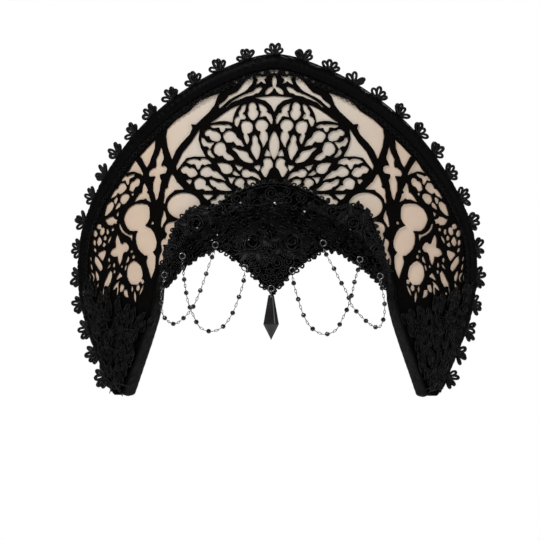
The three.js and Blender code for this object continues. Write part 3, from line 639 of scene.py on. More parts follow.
    [(139, 4.5), (139.5, 2), (140.5, 1), (142, 3), (140.5, 4)],
    [(145.5, 1), (144.5, -0.5), (142.5, -1.5), (140.5, -2), (141.5, -3.5), (141.5, -5), (144, -4),
    (146, -5.5), (147.5, -5.5), (151.5, -5), (153.5, -3), (155, -1), (152.5, -0.5), (150, 0.5)],
    [(165.5, -4.5), (162.5, -4), (160, -5.5), (160.5, -7.5), (163, -8.5), (165, -7.5), (166.5, -6.5)],
    [(157.5, -7), (156, -8.5), (156, -11), (157.5, -13), (160, -13.5), (162, -12), (162, -10),
    (160.5, -8)],
    [(169, -8.5), (166.5, -10), (165, -12), (166, -14), (168, -14.5), (170.5, -13), (171, -11),
    (170.5, -9.5)],
    [(153, -8.5), (151.5, -9.5), (150.5, -11.5), (151.5, -13.5), (153.5, -12.5), (153.5, -10.5)],
    [(163, -14.5), (160.5, -16.5), (159, -19), (160.5, -21), (163.5, -22.5), (165, -21), (166, -19.5),
    (165, -16.5)],
    [(170, -16.5), (167.5, -18), (167, -19.5), (167.5, -21.5), (169, -21.5), (171, -20), (171, -18)],
    [(155, -14), (153.5, -15.5), (153.5, -17.5), (155, -18), (157, -17), (157, -15)],
    [(147.5, -14.5), (148, -17), (149.5, -19), (151, -21), (151.5, -19.5), (151, -17.5)],
    [(157, -19.5), (154, -21.5), (155.5, -23), (158, -23), (158.5, -21.5)],
    [(164, -28.5), (160.5, -27.5), (156.5, -26.5), (154, -27), (154.5, -30), (156, -32.5), (158, -35),
    (160.5, -33), (164, -30)],
    [(140.5, -14), (139, -16.5), (137.5, -19.5), (137, -21.5), (135, -22.5), (133, -21), (130, -21.5),
    (128, -24), (127.5, -26), (129, -28), (132, -28.5), (133.5, -29.5), (134.5, -32), (135, -34.5),
    (136, -37), (137.5, -39), (139, -36.5), (139.5, -34), (140, -31.5), (143, -32), (146.5, -31),
    (148.5, -29.5), (147.5, -27), (145, -25.5), (142, -25), (142, -22.5), (142.5, -19.5), (142, -16.5)],
    [(138.5, -5.5), (137.5, -5.5), (136, -8.5), (133.5, -11.5), (130.5, -13.5), (127, -15), (124, -15),
    (124, -17), (124.5, -20.5), (125, -18), (127, -16), (131, -14.5), (135, -12), (137.5, -9)],
    [(121, 10), (114.5, 10), (109, 9), (107, 6.5), (106.5, 2.5), (106.5, -2), (108.5, -5.5),
    (111.5, -8), (109, -9), (105.5, -10.5), (102.5, -14), (100.5, -18.5), (99.5, -22), (100, -26),
    (101.5, -28.5), (103.5, -29.5), (102, -31.5), (100.5, -33.5), (100.5, -38), (101, -43),
    (102.5, -47), (104.5, -51), (106, -46.5), (107, -43.5), (108.5, -40), (109, -37), (108, -33.5),
    (108.5, -32), (111, -32), (114.5, -29.5), (117.5, -26.5), (119.5, -22), (120, -17.5), (119.5, -14),
    (118, -12.5), (119, -11.5), (123, -11.5), (126.5, -11), (129.5, -8.5), (131.5, -5.5), (133, -1.5),
    (131.5, 2.5), (129, 6), (125, 8.5)],
    [(122, -36.5), (118.5, -38), (115, -41), (113.5, -45), (113, -49), (115, -53), (117.5, -55.5),
    (121.5, -55.5), (125, -55), (127.5, -52), (129, -48.5), (129, -44), (128, -40.5), (125.5, -38)],
    [(93, 4), (91.5, 1), (90.5, -3), (91.5, -5), (93.5, -7.5), (94.5, -10), (95.5, -8.5), (95, -5.5),
    (94.5, -2.5), (93, 1.5)],
    [(128, -32), (127, -34), (127.5, -36), (129.5, -37.5), (130.5, -37.5), (129.5, -35)],
    [(168, -30.5), (164.5, -32.5), (161, -36), (158.5, -39), (158, -41.5), (160.5, -43.5), (163, -41.5),
    (165.5, -39), (168, -36.5), (169, -34)],
    [(167.5, -42.5), (164.5, -45), (162.5, -48), (162.5, -50.5), (165, -51.5), (166, -49.5),
    (167, -47)],
    [(163, -52.5), (163, -55.5), (164.5, -58.5), (166.5, -58.5), (166.5, -56)],
    [(148, -43.5), (146, -46), (146.5, -49), (148, -53), (151, -56.5), (153.5, -55.5), (156, -56.5),
    (155.5, -53.5), (153, -50), (150.5, -46)],
    [(137.5, -45.5), (136, -47), (134.5, -48.5), (137, -49.5), (141, -51.5), (140.5, -49.5),
    (139, -47.5)],
    [(136, -55.5), (132.5, -56), (132.5, -58.5), (134.5, -61), (137, -61), (137, -58.5)],
    [(132.5, -60), (129, -60), (128.5, -63), (127.5, -66), (131, -65), (132.5, -63)],
]
GRID_STEP = 0.5
GRID_U = np.arange(0, 192, GRID_STEP)
GRID_V = np.arange(-160, 124, GRID_STEP)
FAR = 4.0
GROWTH = 0.45


def ellipse_distance(u, v, foil):
    cu, cv, a, b = foil[:4]
    turn = math.radians(foil[4] if len(foil) > 4 else 0)
    p = (u - cu) * math.cos(turn) + (v - cv) * math.sin(turn)
    q = (v - cv) * math.cos(turn) - (u - cu) * math.sin(turn)
    near = np.hypot(p / a, q / b)
    return near * (near - 1) / np.maximum(np.hypot(p / a ** 2, q / b ** 2), 1e-6)


def leaf_distance(u, v, start, end, width):
    """Two arcs that meet in a point at each end."""
    start, end = np.array(start, float), np.array(end, float)
    half = np.linalg.norm(end - start) / 2
    along = (end - start) / (2 * half)
    middle = (start + end) / 2
    p = (u - middle[0]) * along[0] + (v - middle[1]) * along[1]
    q = (v - middle[1]) * along[0] - (u - middle[0]) * along[1]
    radius = (half ** 2 + (width / 2) ** 2) / width
    shift = radius - width / 2
    return np.maximum(np.hypot(p, q - shift), np.hypot(p, q + shift)) - radius


def drop_distance(u, v, start, start_radius, end, end_radius):
    du, dv = end[0] - start[0], end[1] - start[1]
    t = np.clip(((u - start[0]) * du + (v - start[1]) * dv) / max(du * du + dv * dv, 1e-9), 0, 1)
    return np.hypot(u - start[0] - t * du, v - start[1] - t * dv) - (start_radius + (end_radius - start_radius) * t)


def curl_distance(u, v, points, width):
    a, b, c = np.array(points, float)
    control = 2 * b - (a + c) / 2
    distance = np.full(u.shape, FAR)
    for t in np.linspace(0, 1, 25):
        x, y = a * (1 - t) ** 2 + 2 * control * t * (1 - t) + c * t * t
        distance = np.minimum(distance, np.hypot(u - x, v - y) - width / 2 * math.sin(math.pi * t) ** 0.7)
    return distance


def polygon_distance(u, v, corners):
    corners = np.array(corners, float)
    distance = np.full(u.shape, 1e9)
    inside = np.zeros(u.shape, bool)
    for (x0, y0), (x1, y1) in zip(corners, np.roll(corners, -1, 0)):
        du, dv = x1 - x0, y1 - y0
        t = np.clip(((u - x0) * du + (v - y0) * dv) / max(du * du + dv * dv, 1e-9), 0, 1)
        distance = np.minimum(distance, np.hypot(u - x0 - t * du, v - y0 - t * dv))
        if dv:
            inside ^= ((y0 > v) != (y1 > v)) & (u < du * (v - y0) / dv + x0)
    return np.where(inside, -distance, distance)


def stamp(field, low, high, distance):
    """Lowers the field to an opening's distance, near that opening."""
    j = slice(*np.searchsorted(GRID_U, [low[0] - FAR, high[0] + FAR]))
    i = slice(*np.searchsorted(GRID_V, [low[1] - FAR, high[1] + FAR]))
    u, v = np.meshgrid(GRID_U[j], GRID_V[i])
    if u.size:
        field[i, j] = np.minimum(field[i, j], distance(u, v))


def opening_field():
    field = np.full((len(GRID_V), len(GRID_U)), FAR)
    for foil in FOILS:
        centre, reach = np.array(foil[:2]), max(foil[2:4])
        stamp(field, centre - reach, centre + reach, lambda u, v: ellipse_distance(u, v, foil))
    for start, end, width in LEAVES:
        pair = np.array([start, end])
        stamp(field, pair.min(0) - width, pair.max(0) + width, lambda u, v: leaf_distance(u, v, start, end, width))
    for start, r0, end, r1 in DROPS:
        pair = np.array([start, end])
        reach = max(r0, r1)
        stamp(field, pair.min(0) - reach, pair.max(0) + reach,
              lambda u, v: drop_distance(u, v, start, r0, end, r1))
    for points, width in CURLS:
        points = np.array(points)
        stamp(field, points.min(0) - width, points.max(0) + width, lambda u, v: curl_distance(u, v, points, width))
    for corners in LIGHTS:
        low, high = np.min(corners, 0), np.max(corners, 0)
        stamp(field, low, high, lambda u, v: polygon_distance(u, v, corners) + 0.1)
    return field - GROWTH


def tracery_field():
    """Signed distance to the black felt over the whole board, negative inside it."""
    openings = opening_field()
    f = np.linspace(0, 1, 90)
    corners = np.concatenate([board_inner(f, 0.3), board_outer(f, -4.4)[::-1]])
    corners = np.concatenate([[(-30, corners[0, 1])], corners, [(-30, corners[-1, 1])]])
    u, v = np.meshgrid(GRID_U, GRID_V)
    felt = np.maximum(polygon_distance(u, v, corners), -openings)
    return np.concatenate([felt[:, :0:-1], felt], 1), np.concatenate([-GRID_U[:0:-1], GRID_U])


# Marching squares: for each pattern of corners inside, the sides that the outline enters and leaves by.
CROSSINGS = {
    1: ["BL"], 2: ["RB"], 3: ["RL"], 4: ["TR"], 5: ["BL", "TR"], 6: ["TB"], 7: ["TL"], 8: ["LT"],
    9: ["BT"], 10: ["RB", "LT"], 11: ["RT"], 12: ["LR"], 13: ["BR"], 14: ["LB"],
}


def contour_loops(field, us, vs):
    rows, columns = field.shape
    inside = (field < 0).astype(int)
    pattern = inside[:-1, :-1] + 2 * inside[:-1, 1:] + 4 * inside[1:, 1:] + 8 * inside[1:, :-1]
    follow = {}
    for i, j in zip(*np.nonzero((pattern > 0) & (pattern < 15))):
        sides = {"B": (0, i, j), "T": (0, i + 1, j), "L": (1, i, j), "R": (1, i, j + 1)}
        for enter, leave in CROSSINGS[pattern[i, j]]:
            follow[sides[enter]] = sides[leave]
    loops = []
    while follow:
        start, here = follow.popitem()
        loop = [start]
        while here != start:
            loop.append(here)
            here = follow.pop(here)
        points = []
        for upright, i, j in loop:
            a, b = field[i, j], field[i + upright, j + 1 - upright]
            t = a / (a - b)
            points.append((us[j] + t * GRID_STEP * (1 - upright), vs[i] + t * GRID_STEP * upright))
        loops.append(np.array(points))
    return [loop for loop in loops if len(loop) > 7]


def simplified(loop, tolerance):
    """A closed line with the points dropped that lie within the tolerance of their neighbours' line."""
    far = int(np.argmax(np.linalg.norm(loop - loop[0], axis=1)))
    closed = np.concatenate([loop, loop[:1]])
    keep = {0, far, len(loop)}
    stack = [(0, far), (far, len(loop))]
    while stack:
        a, b = stack.pop()
        if b - a < 2:
            continue
        start, along = closed[a], closed[b] - closed[a]
        rest = closed[a + 1:b] - start
        length = max(np.linalg.norm(along), 1e-9)
        away = np.abs(along[0] * rest[:, 1] - along[1] * rest[:, 0]) / length
        k = a + 1 + int(np.argmax(away))
        if away[k - a - 1] > tolerance or length > 9:
            k = k if away[k - a - 1] > tolerance else (a + b) // 2
            keep.add(k)
            stack.extend([(a, k), (k, b)])
    return closed[sorted(keep)[:-1]]


def sample(grid, us, vs, points):
    x = np.clip((points[:, 0] - us[0]) / GRID_STEP, 0, len(us) - 1.001)
    y = np.clip((points[:, 1] - vs[0]) / GRID_STEP, 0, len(vs) - 1.001)
    j, i = x.astype(int), y.astype(int)
    p, q = x - j, y - i
    return (grid[i, j] * (1 - p) * (1 - q) + grid[i, j + 1] * p * (1 - q)
            + grid[i + 1, j] * (1 - p) * q + grid[i + 1, j + 1] * p * q)


def triangulated(field, us, vs, spacing, tolerance=0.06):
    """Flat points and triangles of the inside of a field."""
    points, edges = [], []
    for loop in contour_loops(field, us, vs):
        loop = simplified(loop, tolerance)
        start = len(points)
        points.extend(loop.tolist())
        edges.extend((start + k, start + (k + 1) % len(loop)) for k in range(len(loop)))
    u, v = np.meshgrid(np.arange(us[0], us[-1], spacing), np.arange(vs[0], vs[-1], spacing))
    u = u + spacing / 2 * (np.arange(u.shape[0]) % 2)[:, None]
    inner = np.stack([u.ravel(), v.ravel()], 1)
    inner = inner[sample(field, us, vs, inner) < -spacing * 0.45]
    points.extend(inner.tolist())
    made = delaunay_2d_cdt([Vector(p) for p in points], edges, [], 0, 1e-6)
    flat = np.array([tuple(p) for p in made[0]])
    triangles = np.array([tuple(face) for face in made[2] if len(face) == 3])
    middle = flat[triangles].mean(1)
    return flat, triangles[sample(field, us, vs, middle) < 0]


def cut_sheet(field, us, vs, low, high, place, spacing=6.0, bevel=0.3):
    """A sheet cut to a field's inside, with eased front edges; place(u, v, w) bends it."""
    flat, triangles = triangulated(field, us, vs, spacing)
    directed = np.concatenate([triangles[:, [0, 1]], triangles[:, [1, 2]], triangles[:, [2, 0]]])
    key = np.sort(directed, 1)
    _, first, uses = np.unique(key, axis=0, return_index=True, return_counts=True)
    border = directed[first[uses == 1]]
    slope_v, slope_u = np.gradient(field, GRID_STEP)
    on_edge = np.zeros(len(flat), bool)
    on_edge[border.ravel()] = True
    out = np.stack([sample(slope_u, us, vs, flat), sample(slope_v, us, vs, flat)], 1)
    out /= np.maximum(np.linalg.norm(out, axis=1, keepdims=True), 1e-6)
    depth = sample(field, us, vs, flat - out * bevel)
    inset = np.where(on_edge, bevel * np.clip(-depth / bevel, 0.2, 1), 0)[:, None]
    eased = flat - out * inset
    count = len(flat)
    shape = Shape()
    front = place(eased[:, 0], eased[:, 1], np.full(count, high))
    shoulder = place(flat[:, 0], flat[:, 1], np.full(count, high - bevel))
    back = place(flat[:, 0], flat[:, 1], np.full(count, low))
    a, b = border[:, 0], border[:, 1]
    walls = np.stack([a + 2 * count, b + 2 * count, b + count, a + count], 1)
    slopes = np.stack([a + count, b + count, b, a], 1)
    shape.add(np.concatenate([front, shoulder, back]), [], np.concatenate([flat] * 3))
    shape.count = 0
    for faces, slot in ((triangles, 0), (triangles[:, ::-1] + 2 * count, 0), (slopes, 0), (walls, 1)):
        shape.faces.extend(map(tuple, faces.tolist()))
        shape.slots.extend([slot] * len(faces))
    shape.count = 3 * count
    p, q, r = flat[triangles[:, 0]], flat[triangles[:, 1]], flat[triangles[:, 2]]
    area = np.abs((q - p)[:, 0] * (r - p)[:, 1] - (q - p)[:, 1] * (r - p)[:, 0]).sum() / 2
    width, length = (flat.max(0) - flat.min(0)) * MM
    return shape, area * MM * MM, (width, length)


def make_tracery():
    field, us = tracery_field()
    shape, area, blank = cut_sheet(field, us, GRID_V, 0.25, 1.5, on_board)
    piece = make_piece("cut_tracery", shape, [FELT, FELT_EDGE], smooth_angle=30)
    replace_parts(piece, "tracery")


# ------------------------------------------------------------------ padded rim
def rim_section(f, angle, swell=0.0):
    """Points round the rim's section at f: angle 0 is the outer edge and 90 degrees the front."""
    share = rim_share(f)
    across = -RIM_WIDTH / 2 * share + (RIM_WIDTH / 2 * share + swell) * np.cos(angle)
    above = -BOARD_THICKNESS / 2 + (RIM_THICKNESS / 2 * share + swell) * np.sin(angle)
    flat = offset(outline, f, across)
    return on_board(flat[..., 0], flat[..., 1], above)


def gathers(length, count, stations, pitch):
    """Uneven folds across a gathered strip: heights from 0 to 1 at each station."""
    s = np.linspace(0, length, stations)
    knots = np.cumsum(rng.uniform(0.6, 1.5, int(length / pitch) + 4) * pitch) - pitch
    deep = rng.uniform(0.35, 1.0, len(knots))
    out = np.zeros((stations, count))
    for column in range(count):
        drift = 0.9 * pitch * np.sin(column * 0.35 + s * 0.05)
        phase = np.interp(s + drift, knots, np.arange(len(knots)))
        tall = np.interp(s + drift, knots, deep)
        out[:, column] = tall * (1 - np.abs(2 * (phase % 1) - 1)) ** 0.6
    return out


def make_rim():
    stations, sides = 1300, 30
    f, length = even_steps(outline, stations)
    angle = np.arange(sides) * 2 * math.pi / sides
    folds = gathers(length, sides, stations, 5.0)
    end = np.minimum(np.arange(stations), np.arange(stations)[::-1]) * length / stations
    cap = np.sqrt(np.clip(1 - (1 - np.minimum(end / 5, 1)) ** 2, 0.02, 1))[:, None]
    swell = folds * 0.9 - 0.8
    points = rim_section(f[:, None], angle[None], swell)
    middle = points.mean(1, keepdims=True)
    points = middle + (points - middle) * cap[..., None]
    uv = np.stack(np.broadcast_arrays(np.linspace(0, length, stations)[:, None], angle[None] * 7), -1)
    shape = Shape()
    shape.grid(points, uv, wrap=True)
    shape.faces.append(tuple(range(sides))[::-1])
    shape.faces.append(tuple(range(shape.count - sides, shape.count)))
    shape.slots.extend([0, 0])
    piece = make_piece("ruched_rim", shape, [SATIN], smooth_angle=80)
    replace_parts(piece, "padded_rim")


# ------------------------------------------------------------------ headband
def make_headband():
    """Covered band over the head, rounded along its edges, with the cover's wrapped folds."""
    stations, sides = 420, 22
    front, back = 3, -12
    f, length = even_steps(arch, stations)
    angle = np.arange(sides) * 2 * math.pi / sides
    squared = [np.sign(wave) * np.abs(wave) ** 0.55 for wave in (np.cos(angle), np.sin(angle))]
    end = np.minimum(np.arange(stations), np.arange(stations)[::-1]) * length / stations
    cap = np.sqrt(np.clip(1 - (1 - np.minimum(end / 3, 1)) ** 2, 0.03, 1))[:, None]
    fold = gathers(length, sides, stations, 7.0) * 0.25
    across = HEADBAND_THICKNESS / 2 + (HEADBAND_THICKNESS / 2 * cap + fold) * squared[0]
    above = (front + back) / 2 + ((front - back) / 2 * cap + fold) * squared[1]
    flat = offset(arch, np.broadcast_to(f[:, None], across.shape), across)
    uv = np.stack(np.broadcast_arrays(np.linspace(0, length, stations)[:, None], angle[None] * 5), -1)
    shape = Shape()
    shape.grid(on_board(flat[..., 0], flat[..., 1], above), uv, wrap=True, flip=True)
    shape.close_ends(sides)
    piece = make_piece("covered_headband", shape, [SATIN], smooth_angle=80)
    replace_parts(piece, "headband")


# ------------------------------------------------------------------ picot loops and net along the rim
def loop_path(length, width, count=24):
    """A round-ended loop from the origin out along +y and back."""
    t = np.arange(count) * 2 * math.pi / count
    out = length * (1 - np.cos(t)) / 2
    return np.stack([width / 2 * np.sin(t) * (1 - 0.45 * np.cos(t)), out], -1)


def make_picots():
    shape = Shape()
    middle = -BOARD_THICKNESS / 2
    for n in range(-CLUSTERS_OF_SIDE, CLUSTERS_OF_SIDE + 1):
        beside = min(1, abs(n) / (0.6 * CLUSTERS_OF_SIDE))
        for lean in (-54, -19, 17, 52):
            turn = math.radians(lean + rng.normal(0, 7))
            length = rng.uniform(7.2, 9.2) * (1.0 if abs(lean) < 40 else 0.88) * (1 + 0.1 * beside)
            path = loop_path(length, rng.uniform(2.3, 3.1))
            across = path[:, 0] * math.cos(turn) + path[:, 1] * math.sin(turn) + 1.2 * math.sin(turn)
            out = path[:, 1] * math.cos(turn) - path[:, 0] * math.sin(turn) + 0.6
            f = (n * CLUSTER_PITCH + across) / HALF_RIM
            flat = offset(outline, f, out)
            lift = middle + rng.normal(0, 0.5) + 0.25 * path[:, 0] + 0.4 * beside * path[:, 1]
            shape.tube(on_board(flat[:, 0], flat[:, 1], lift), rng.uniform(1.1, 1.4), closed=True)
    f = even_steps(outline, 620)[0][4:-4]
    flat = offset(outline, f, np.full(len(f), 0.1))
    shape.tube(on_board(flat[:, 0], flat[:, 1], np.full(len(f), float(middle))), 0.95)
    piece = make_piece("picot_cords", shape, [CORD], smooth_angle=80)
    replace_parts(piece, "picot_loops")


def make_net():
    """Scalloped net that edges the rim over the tracery."""
    shape = Shape()
    scallops, steps = 148, 8
    s = np.linspace(0, scallops, scallops * steps + 1)
    f = -0.985 + 1.97 * s / scallops
    start = -RIM_WIDTH * rim_share(f) + 1.5

    def thread(depth, radius, lift):
        flat = offset(outline, f, start - depth)
        shape.tube(on_board(flat[:, 0], flat[:, 1], lift + 0.06 * np.sin(s * 3.1)), radius, sides=5)

    bow = np.abs(np.sin(math.pi * s)) ** 0.55
    thread(2.2 + 3.2 * bow, 0.34, 2.6)
    thread(1.9 + 2.3 * bow, 0.2, 2.5)
    thread(1.7 + 1.2 * bow, 0.17, 2.7)
    for waves, low, high in ((2.0, 0.5, 4.6), (3.0, 0.5, 4.2), (5.0, 0.2, 3.6)):
        zigzag = np.abs((s * waves) % 2 - 1)
        thread(low + (high - low) * zigzag, 0.14, 2.2 + 0.1 * waves)
    piece = make_piece("net_edging", shape, [CORD], smooth_angle=80)
    return piece


# ------------------------------------------------------------------ corded lace over the forehead
HEAD_WIDTH, HEAD_DEPTH, HEAD_HEIGHT, HEAD_BACK, HEAD_DOWN = 95, 101, 98, 35, 89
LACE_TOP = [(-90, -44), (-86, -31), (-82, -18), (-77, -8), (-69, 0), (-60, 4), (-50, 3), (-37, 11), (-24, 18),
            (-12, 22), (0, 23.5), (12, 22), (24, 18), (37, 11), (50, 3), (60, 5), (69, 3), (77, -4), (82, -16),
            (86, -31), (90, -44)]
LACE_BOTTOM = [(-90, -62), (-82, -56), (-74, -47), (-64, -39), (-53, -32), (-42, -29), (-32, -33), (-23, -40),
               (-15, -46.5), (-7, -54.5), (0, -60), (7, -54.5), (15, -46.5), (23, -40), (32, -33), (42, -29),
               (53, -32), (64, -39), (74, -47), (82, -55), (90, -60)]


def lace_depth(x, z):
    """How far back the lace's underside lies at (x, z), over the head or the board."""
    share = 1 - (x / (HEAD_WIDTH + 1)) ** 2 - ((z + HEAD_DOWN) / (HEAD_HEIGHT + 1)) ** 2
    head = HEAD_BACK - (HEAD_DEPTH + 1) * np.sqrt(np.maximum(share, 0))
    radius = BEND_RADIUS + 4
    board = (BEND_RADIUS - np.sqrt(radius ** 2 - np.clip(x, -180, 180) ** 2)) / math.cos(LEAN) + z * math.tan(LEAN)
    blend = 12
    mix = np.maximum(blend - np.abs(head - board), 0) / blend
    return np.minimum(head, board) - mix ** 2 * blend / 4


def lace_facing(x, z):
    slope_x = lace_depth(x + 0.5, z) - lace_depth(x - 0.5, z)
    slope_z = lace_depth(x, z + 0.5) - lace_depth(x, z - 0.5)
    return np.stack([slope_x, -np.ones_like(slope_x), slope_z], -1)


def on_lace(x, z, lift):
    x, z = np.asarray(x, float), np.asarray(z, float)
    facing = lace_facing(x, z)
    facing /= np.linalg.norm(facing, axis=-1, keepdims=True)
    return np.stack([x, lace_depth(x, z), z], -1) + facing * np.asarray(lift, float)[..., None]


def lace_place(p, q):
    """Point of the lace: p along it from -1 to 1, q from its lower to its upper edge."""
    t = (np.asarray(p, float) + 1) / 2 * (len(LACE_TOP) - 1)
    low, high = spline(LACE_BOTTOM, t), spline(LACE_TOP, t)
    return low + (high - low) * np.asarray(q, float)[..., None]


def lace_cord(shape, path, lift, radius=0.5, closed=False):
    lift = np.broadcast_to(np.asarray(lift, float), (len(path),))
    shape.tube(on_lace(path[:, 0], path[:, 1], lift), radius, sides=5, closed=closed)


def scroll(x, z, radius, turns, start, hand, count=None, wobble=0.0):
    """A cord coiled inwards, as a path on the lace."""
    count = count or int(14 * turns) + 4
    t = np.linspace(0, 1, count)
    angle = start + hand * 2 * math.pi * turns * t
    reach = radius * (1 - 0.82 * t) * (1 + wobble * np.sin(5 * angle / 2 + start))
    return np.stack([x + reach * np.cos(angle), z + reach * np.sin(angle)], -1)


def lace_petal(shape, foot, heading, length, width, lift):
    """A cupped satin leaf on the lace, with its two edges bound in cord."""
    rows, columns = 9, 5
    t = np.linspace(0, 1, rows)[:, None]
    s = np.linspace(-1, 1, columns)[None]
    half = width / 2 * np.sin(math.pi * np.clip(t, 0.03, 0.97)) ** 0.7
    bend = 0.5 * rng.uniform(-1, 1) * length * t ** 2
    along, across = length * t + 0 * s, half * s + bend
    x = foot[0] + along * math.cos(heading) - across * math.sin(heading)
    z = foot[1] + along * math.sin(heading) + across * math.cos(heading)
    raised = lift + 0.9 * np.sin(math.pi * t) * (1 - 0.9 * s ** 2) + rng.uniform(-0.3, 0.9) * s * np.sin(math.pi * t)
    flat = np.stack([along, across], -1)
    front, back = on_lace(x, z, raised), on_lace(x, z, raised - 0.3)
    shape.slab(front, back, flat, slot=1, flip=True)
    shape.tube(np.concatenate([front[:, 0], front[::-1, -1]]), 0.34, sides=5, closed=True)


ROSES = [(15, -25, 11.5), (62, -9, 12), (31, -4, 8.5), (0, 3, 8), (46, -14, 7.5), (80, -30, 7), (83, -50, 5)]


def make_lace():
    ground = Shape()
    columns, rows = 300, 26
    p = np.linspace(-1, 1, columns)
    q = np.linspace(0, 1, rows)
    flat = lace_place(p[:, None], q[None])
    out = flat[:, -1] - flat[:, 0]
    out /= np.linalg.norm(out, axis=-1, keepdims=True)
    scallop = 1.5 * np.abs(np.sin(p * 23 * math.pi))[:, None] ** 0.7 - 0.5
    flat = flat + out[:, None] * (scallop * np.clip((q[None] - 0.8) / 0.2, 0, 1)
                                  - scallop * np.clip((0.2 - q[None]) / 0.2, 0, 1))[..., None]
    x, z = flat[..., 0], flat[..., 1]
    puff = 0.5 * np.sin(x * 0.5 + 1.7 * np.sin(z * 0.3)) * np.sin(z * 0.45)
    front, back = on_lace(x, z, 1.3 + 0.4 * puff), on_lace(x, z, np.full(x.shape, 0.15))
    ground.slab(front, back, flat)
    steep = np.linalg.norm(lace_facing(x[:-1, :-1], z[:-1, :-1]), axis=-1)
    piece = make_piece("lace_ground", ground, [LACE], smooth_angle=60)
    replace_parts(piece, "front_lace")

    cords = Shape()
    fine = np.linspace(-0.995, 0.995, 560)
    bump = np.abs(np.sin(fine * 23 * math.pi)) ** 0.7
    for edge, sign in ((0.0, -1), (1.0, 1)):
        line = lace_place(fine, np.full(fine.shape, edge))
        tangent = np.gradient(line, axis=0)
        tangent /= np.linalg.norm(tangent, axis=1, keepdims=True)
        normal = np.stack([-tangent[:, 1], tangent[:, 0]], -1) * sign
        lace_cord(cords, line + normal * (1.5 * bump - 0.6)[:, None], 1.7 + 0.3 * bump, 0.62)
        lace_cord(cords, line - normal * (1.6 + 0.5 * bump)[:, None], 2.0, 0.45)
    for x0, z0, size in ROSES:
        for side in ((1, -1) if x0 else (1,)):
            start = rng.uniform(0, 2 * math.pi)
            path = scroll(side * x0, z0, size, 4.2, start, side, count=110, wobble=0.1)
            rise = np.linspace(2.0, 4.6, len(path)) + 0.25 * np.sin(np.arange(len(path)) * 0.9)
            lace_cord(cords, path, rise, 0.8)
            for k in range(7):
                angle = start + k * 2 * math.pi / 7
                petal = loop_path(size * 0.55, size * 0.62, 18)
                turned = np.stack([petal[:, 0] * math.cos(angle) - petal[:, 1] * math.sin(angle),
                                   petal[:, 0] * math.sin(angle) + petal[:, 1] * math.cos(angle)], -1)
                centre = np.array([side * x0 - size * 0.5 * math.sin(angle), z0 + size * 0.5 * math.cos(angle)])
                lace_cord(cords, centre + turned, 2.7 + 0.4 * math.sin(3 * angle), 0.52, closed=True)
            for k in range(5):
                angle = start + (k + 0.5) * 0.4 * math.pi + rng.normal(0, 0.15)
                foot = (side * x0 + size * 0.45 * math.cos(angle), z0 + size * 0.45 * math.sin(angle))
                lace_petal(cords, foot, angle + side * 0.7, size * rng.uniform(0.8, 1.05), size * 0.5, 3.0)
    for edge, sign, loops in ((0.0, -1, 44), (1.0, 1, 50)):
        for p in np.linspace(-0.97, 0.97, loops) + rng.normal(0, 0.006, loops):
            foot = lace_place(p, edge)
            heading = sign * math.pi / 2 + rng.normal(0, 0.45)
            if rng.random() < 0.2:
                lace_petal(cords, foot, heading, rng.uniform(3.4, 5), rng.uniform(3, 4.2), 2.2)
            else:
                loop = loop_path(rng.uniform(1.8, 3.2), rng.uniform(2.2, 3.2), 18)
                turned = np.stack([loop[:, 0] * math.sin(heading) + loop[:, 1] * math.cos(heading),
                                   loop[:, 1] * math.sin(heading) - loop[:, 0] * math.cos(heading)], -1)
                lace_cord(cords, foot + turned, 1.9, 0.75, closed=True)
    for _ in range(46):
        foot = lace_place(rng.uniform(-0.97, 0.97), rng.uniform(0.15, 0.8))
        lace_petal(cords, foot, rng.uniform(0, 2 * math.pi), rng.uniform(7, 13), rng.uniform(1.8, 3.0), 2.8)
    placed = [(side * x0, z0, size * 0.8) for x0, z0, size in ROSES for side in (1, -1)]
    tries = 0
    while tries < 5000:
        tries += 1
        spot = lace_place(rng.uniform(-0.99, 0.99), rng.uniform(0.07, 0.93))
        size = rng.uniform(2.8, 5.6)
        if all(math.hypot(spot[0] - a, spot[1] - b) > 0.72 * (size + c) for a, b, c in placed):
            placed.append((spot[0], spot[1], size))
            path = scroll(spot[0], spot[1], size, rng.uniform(1.4, 2.3), rng.uniform(0, 2 * math.pi),
                          rng.choice([-1, 1]))
            lace_cord(cords, path, np.linspace(1.9, 3.1, len(path)) + rng.uniform(-0.2, 0.9), 0.62)
    for k in range(9):
        p = np.linspace(-0.97, 0.97, 240)
        q = 0.12 + 0.76 * k / 8 + 0.07 * np.sin(p * (19 + 3 * k) + k) + 0.03 * np.sin(p * 61 + 2 * k)
        path = lace_place(p, np.clip(q, 0.03, 0.97))
        lace_cord(cords, path, 2.1 + 0.5 * np.sin(p * 37 + k), 0.42)
    trim = make_piece("lace_cords", cords, [CORD, SATIN_LEAF], smooth_angle=80)


SEEDS = [(23.3, -2.9, 1.1), (0.5, 4.9, 0.85), (1.6, 2.9, 0.6), (-25.9, 7.7, 0.8), (-58.8, -14.3, 0.85),
         (-41.5, -20.7, 0.65), (-17.3, -24.2, 0.6), (-45.3, -24.6, 0.55), (58.1, -16.4, 0.5)]


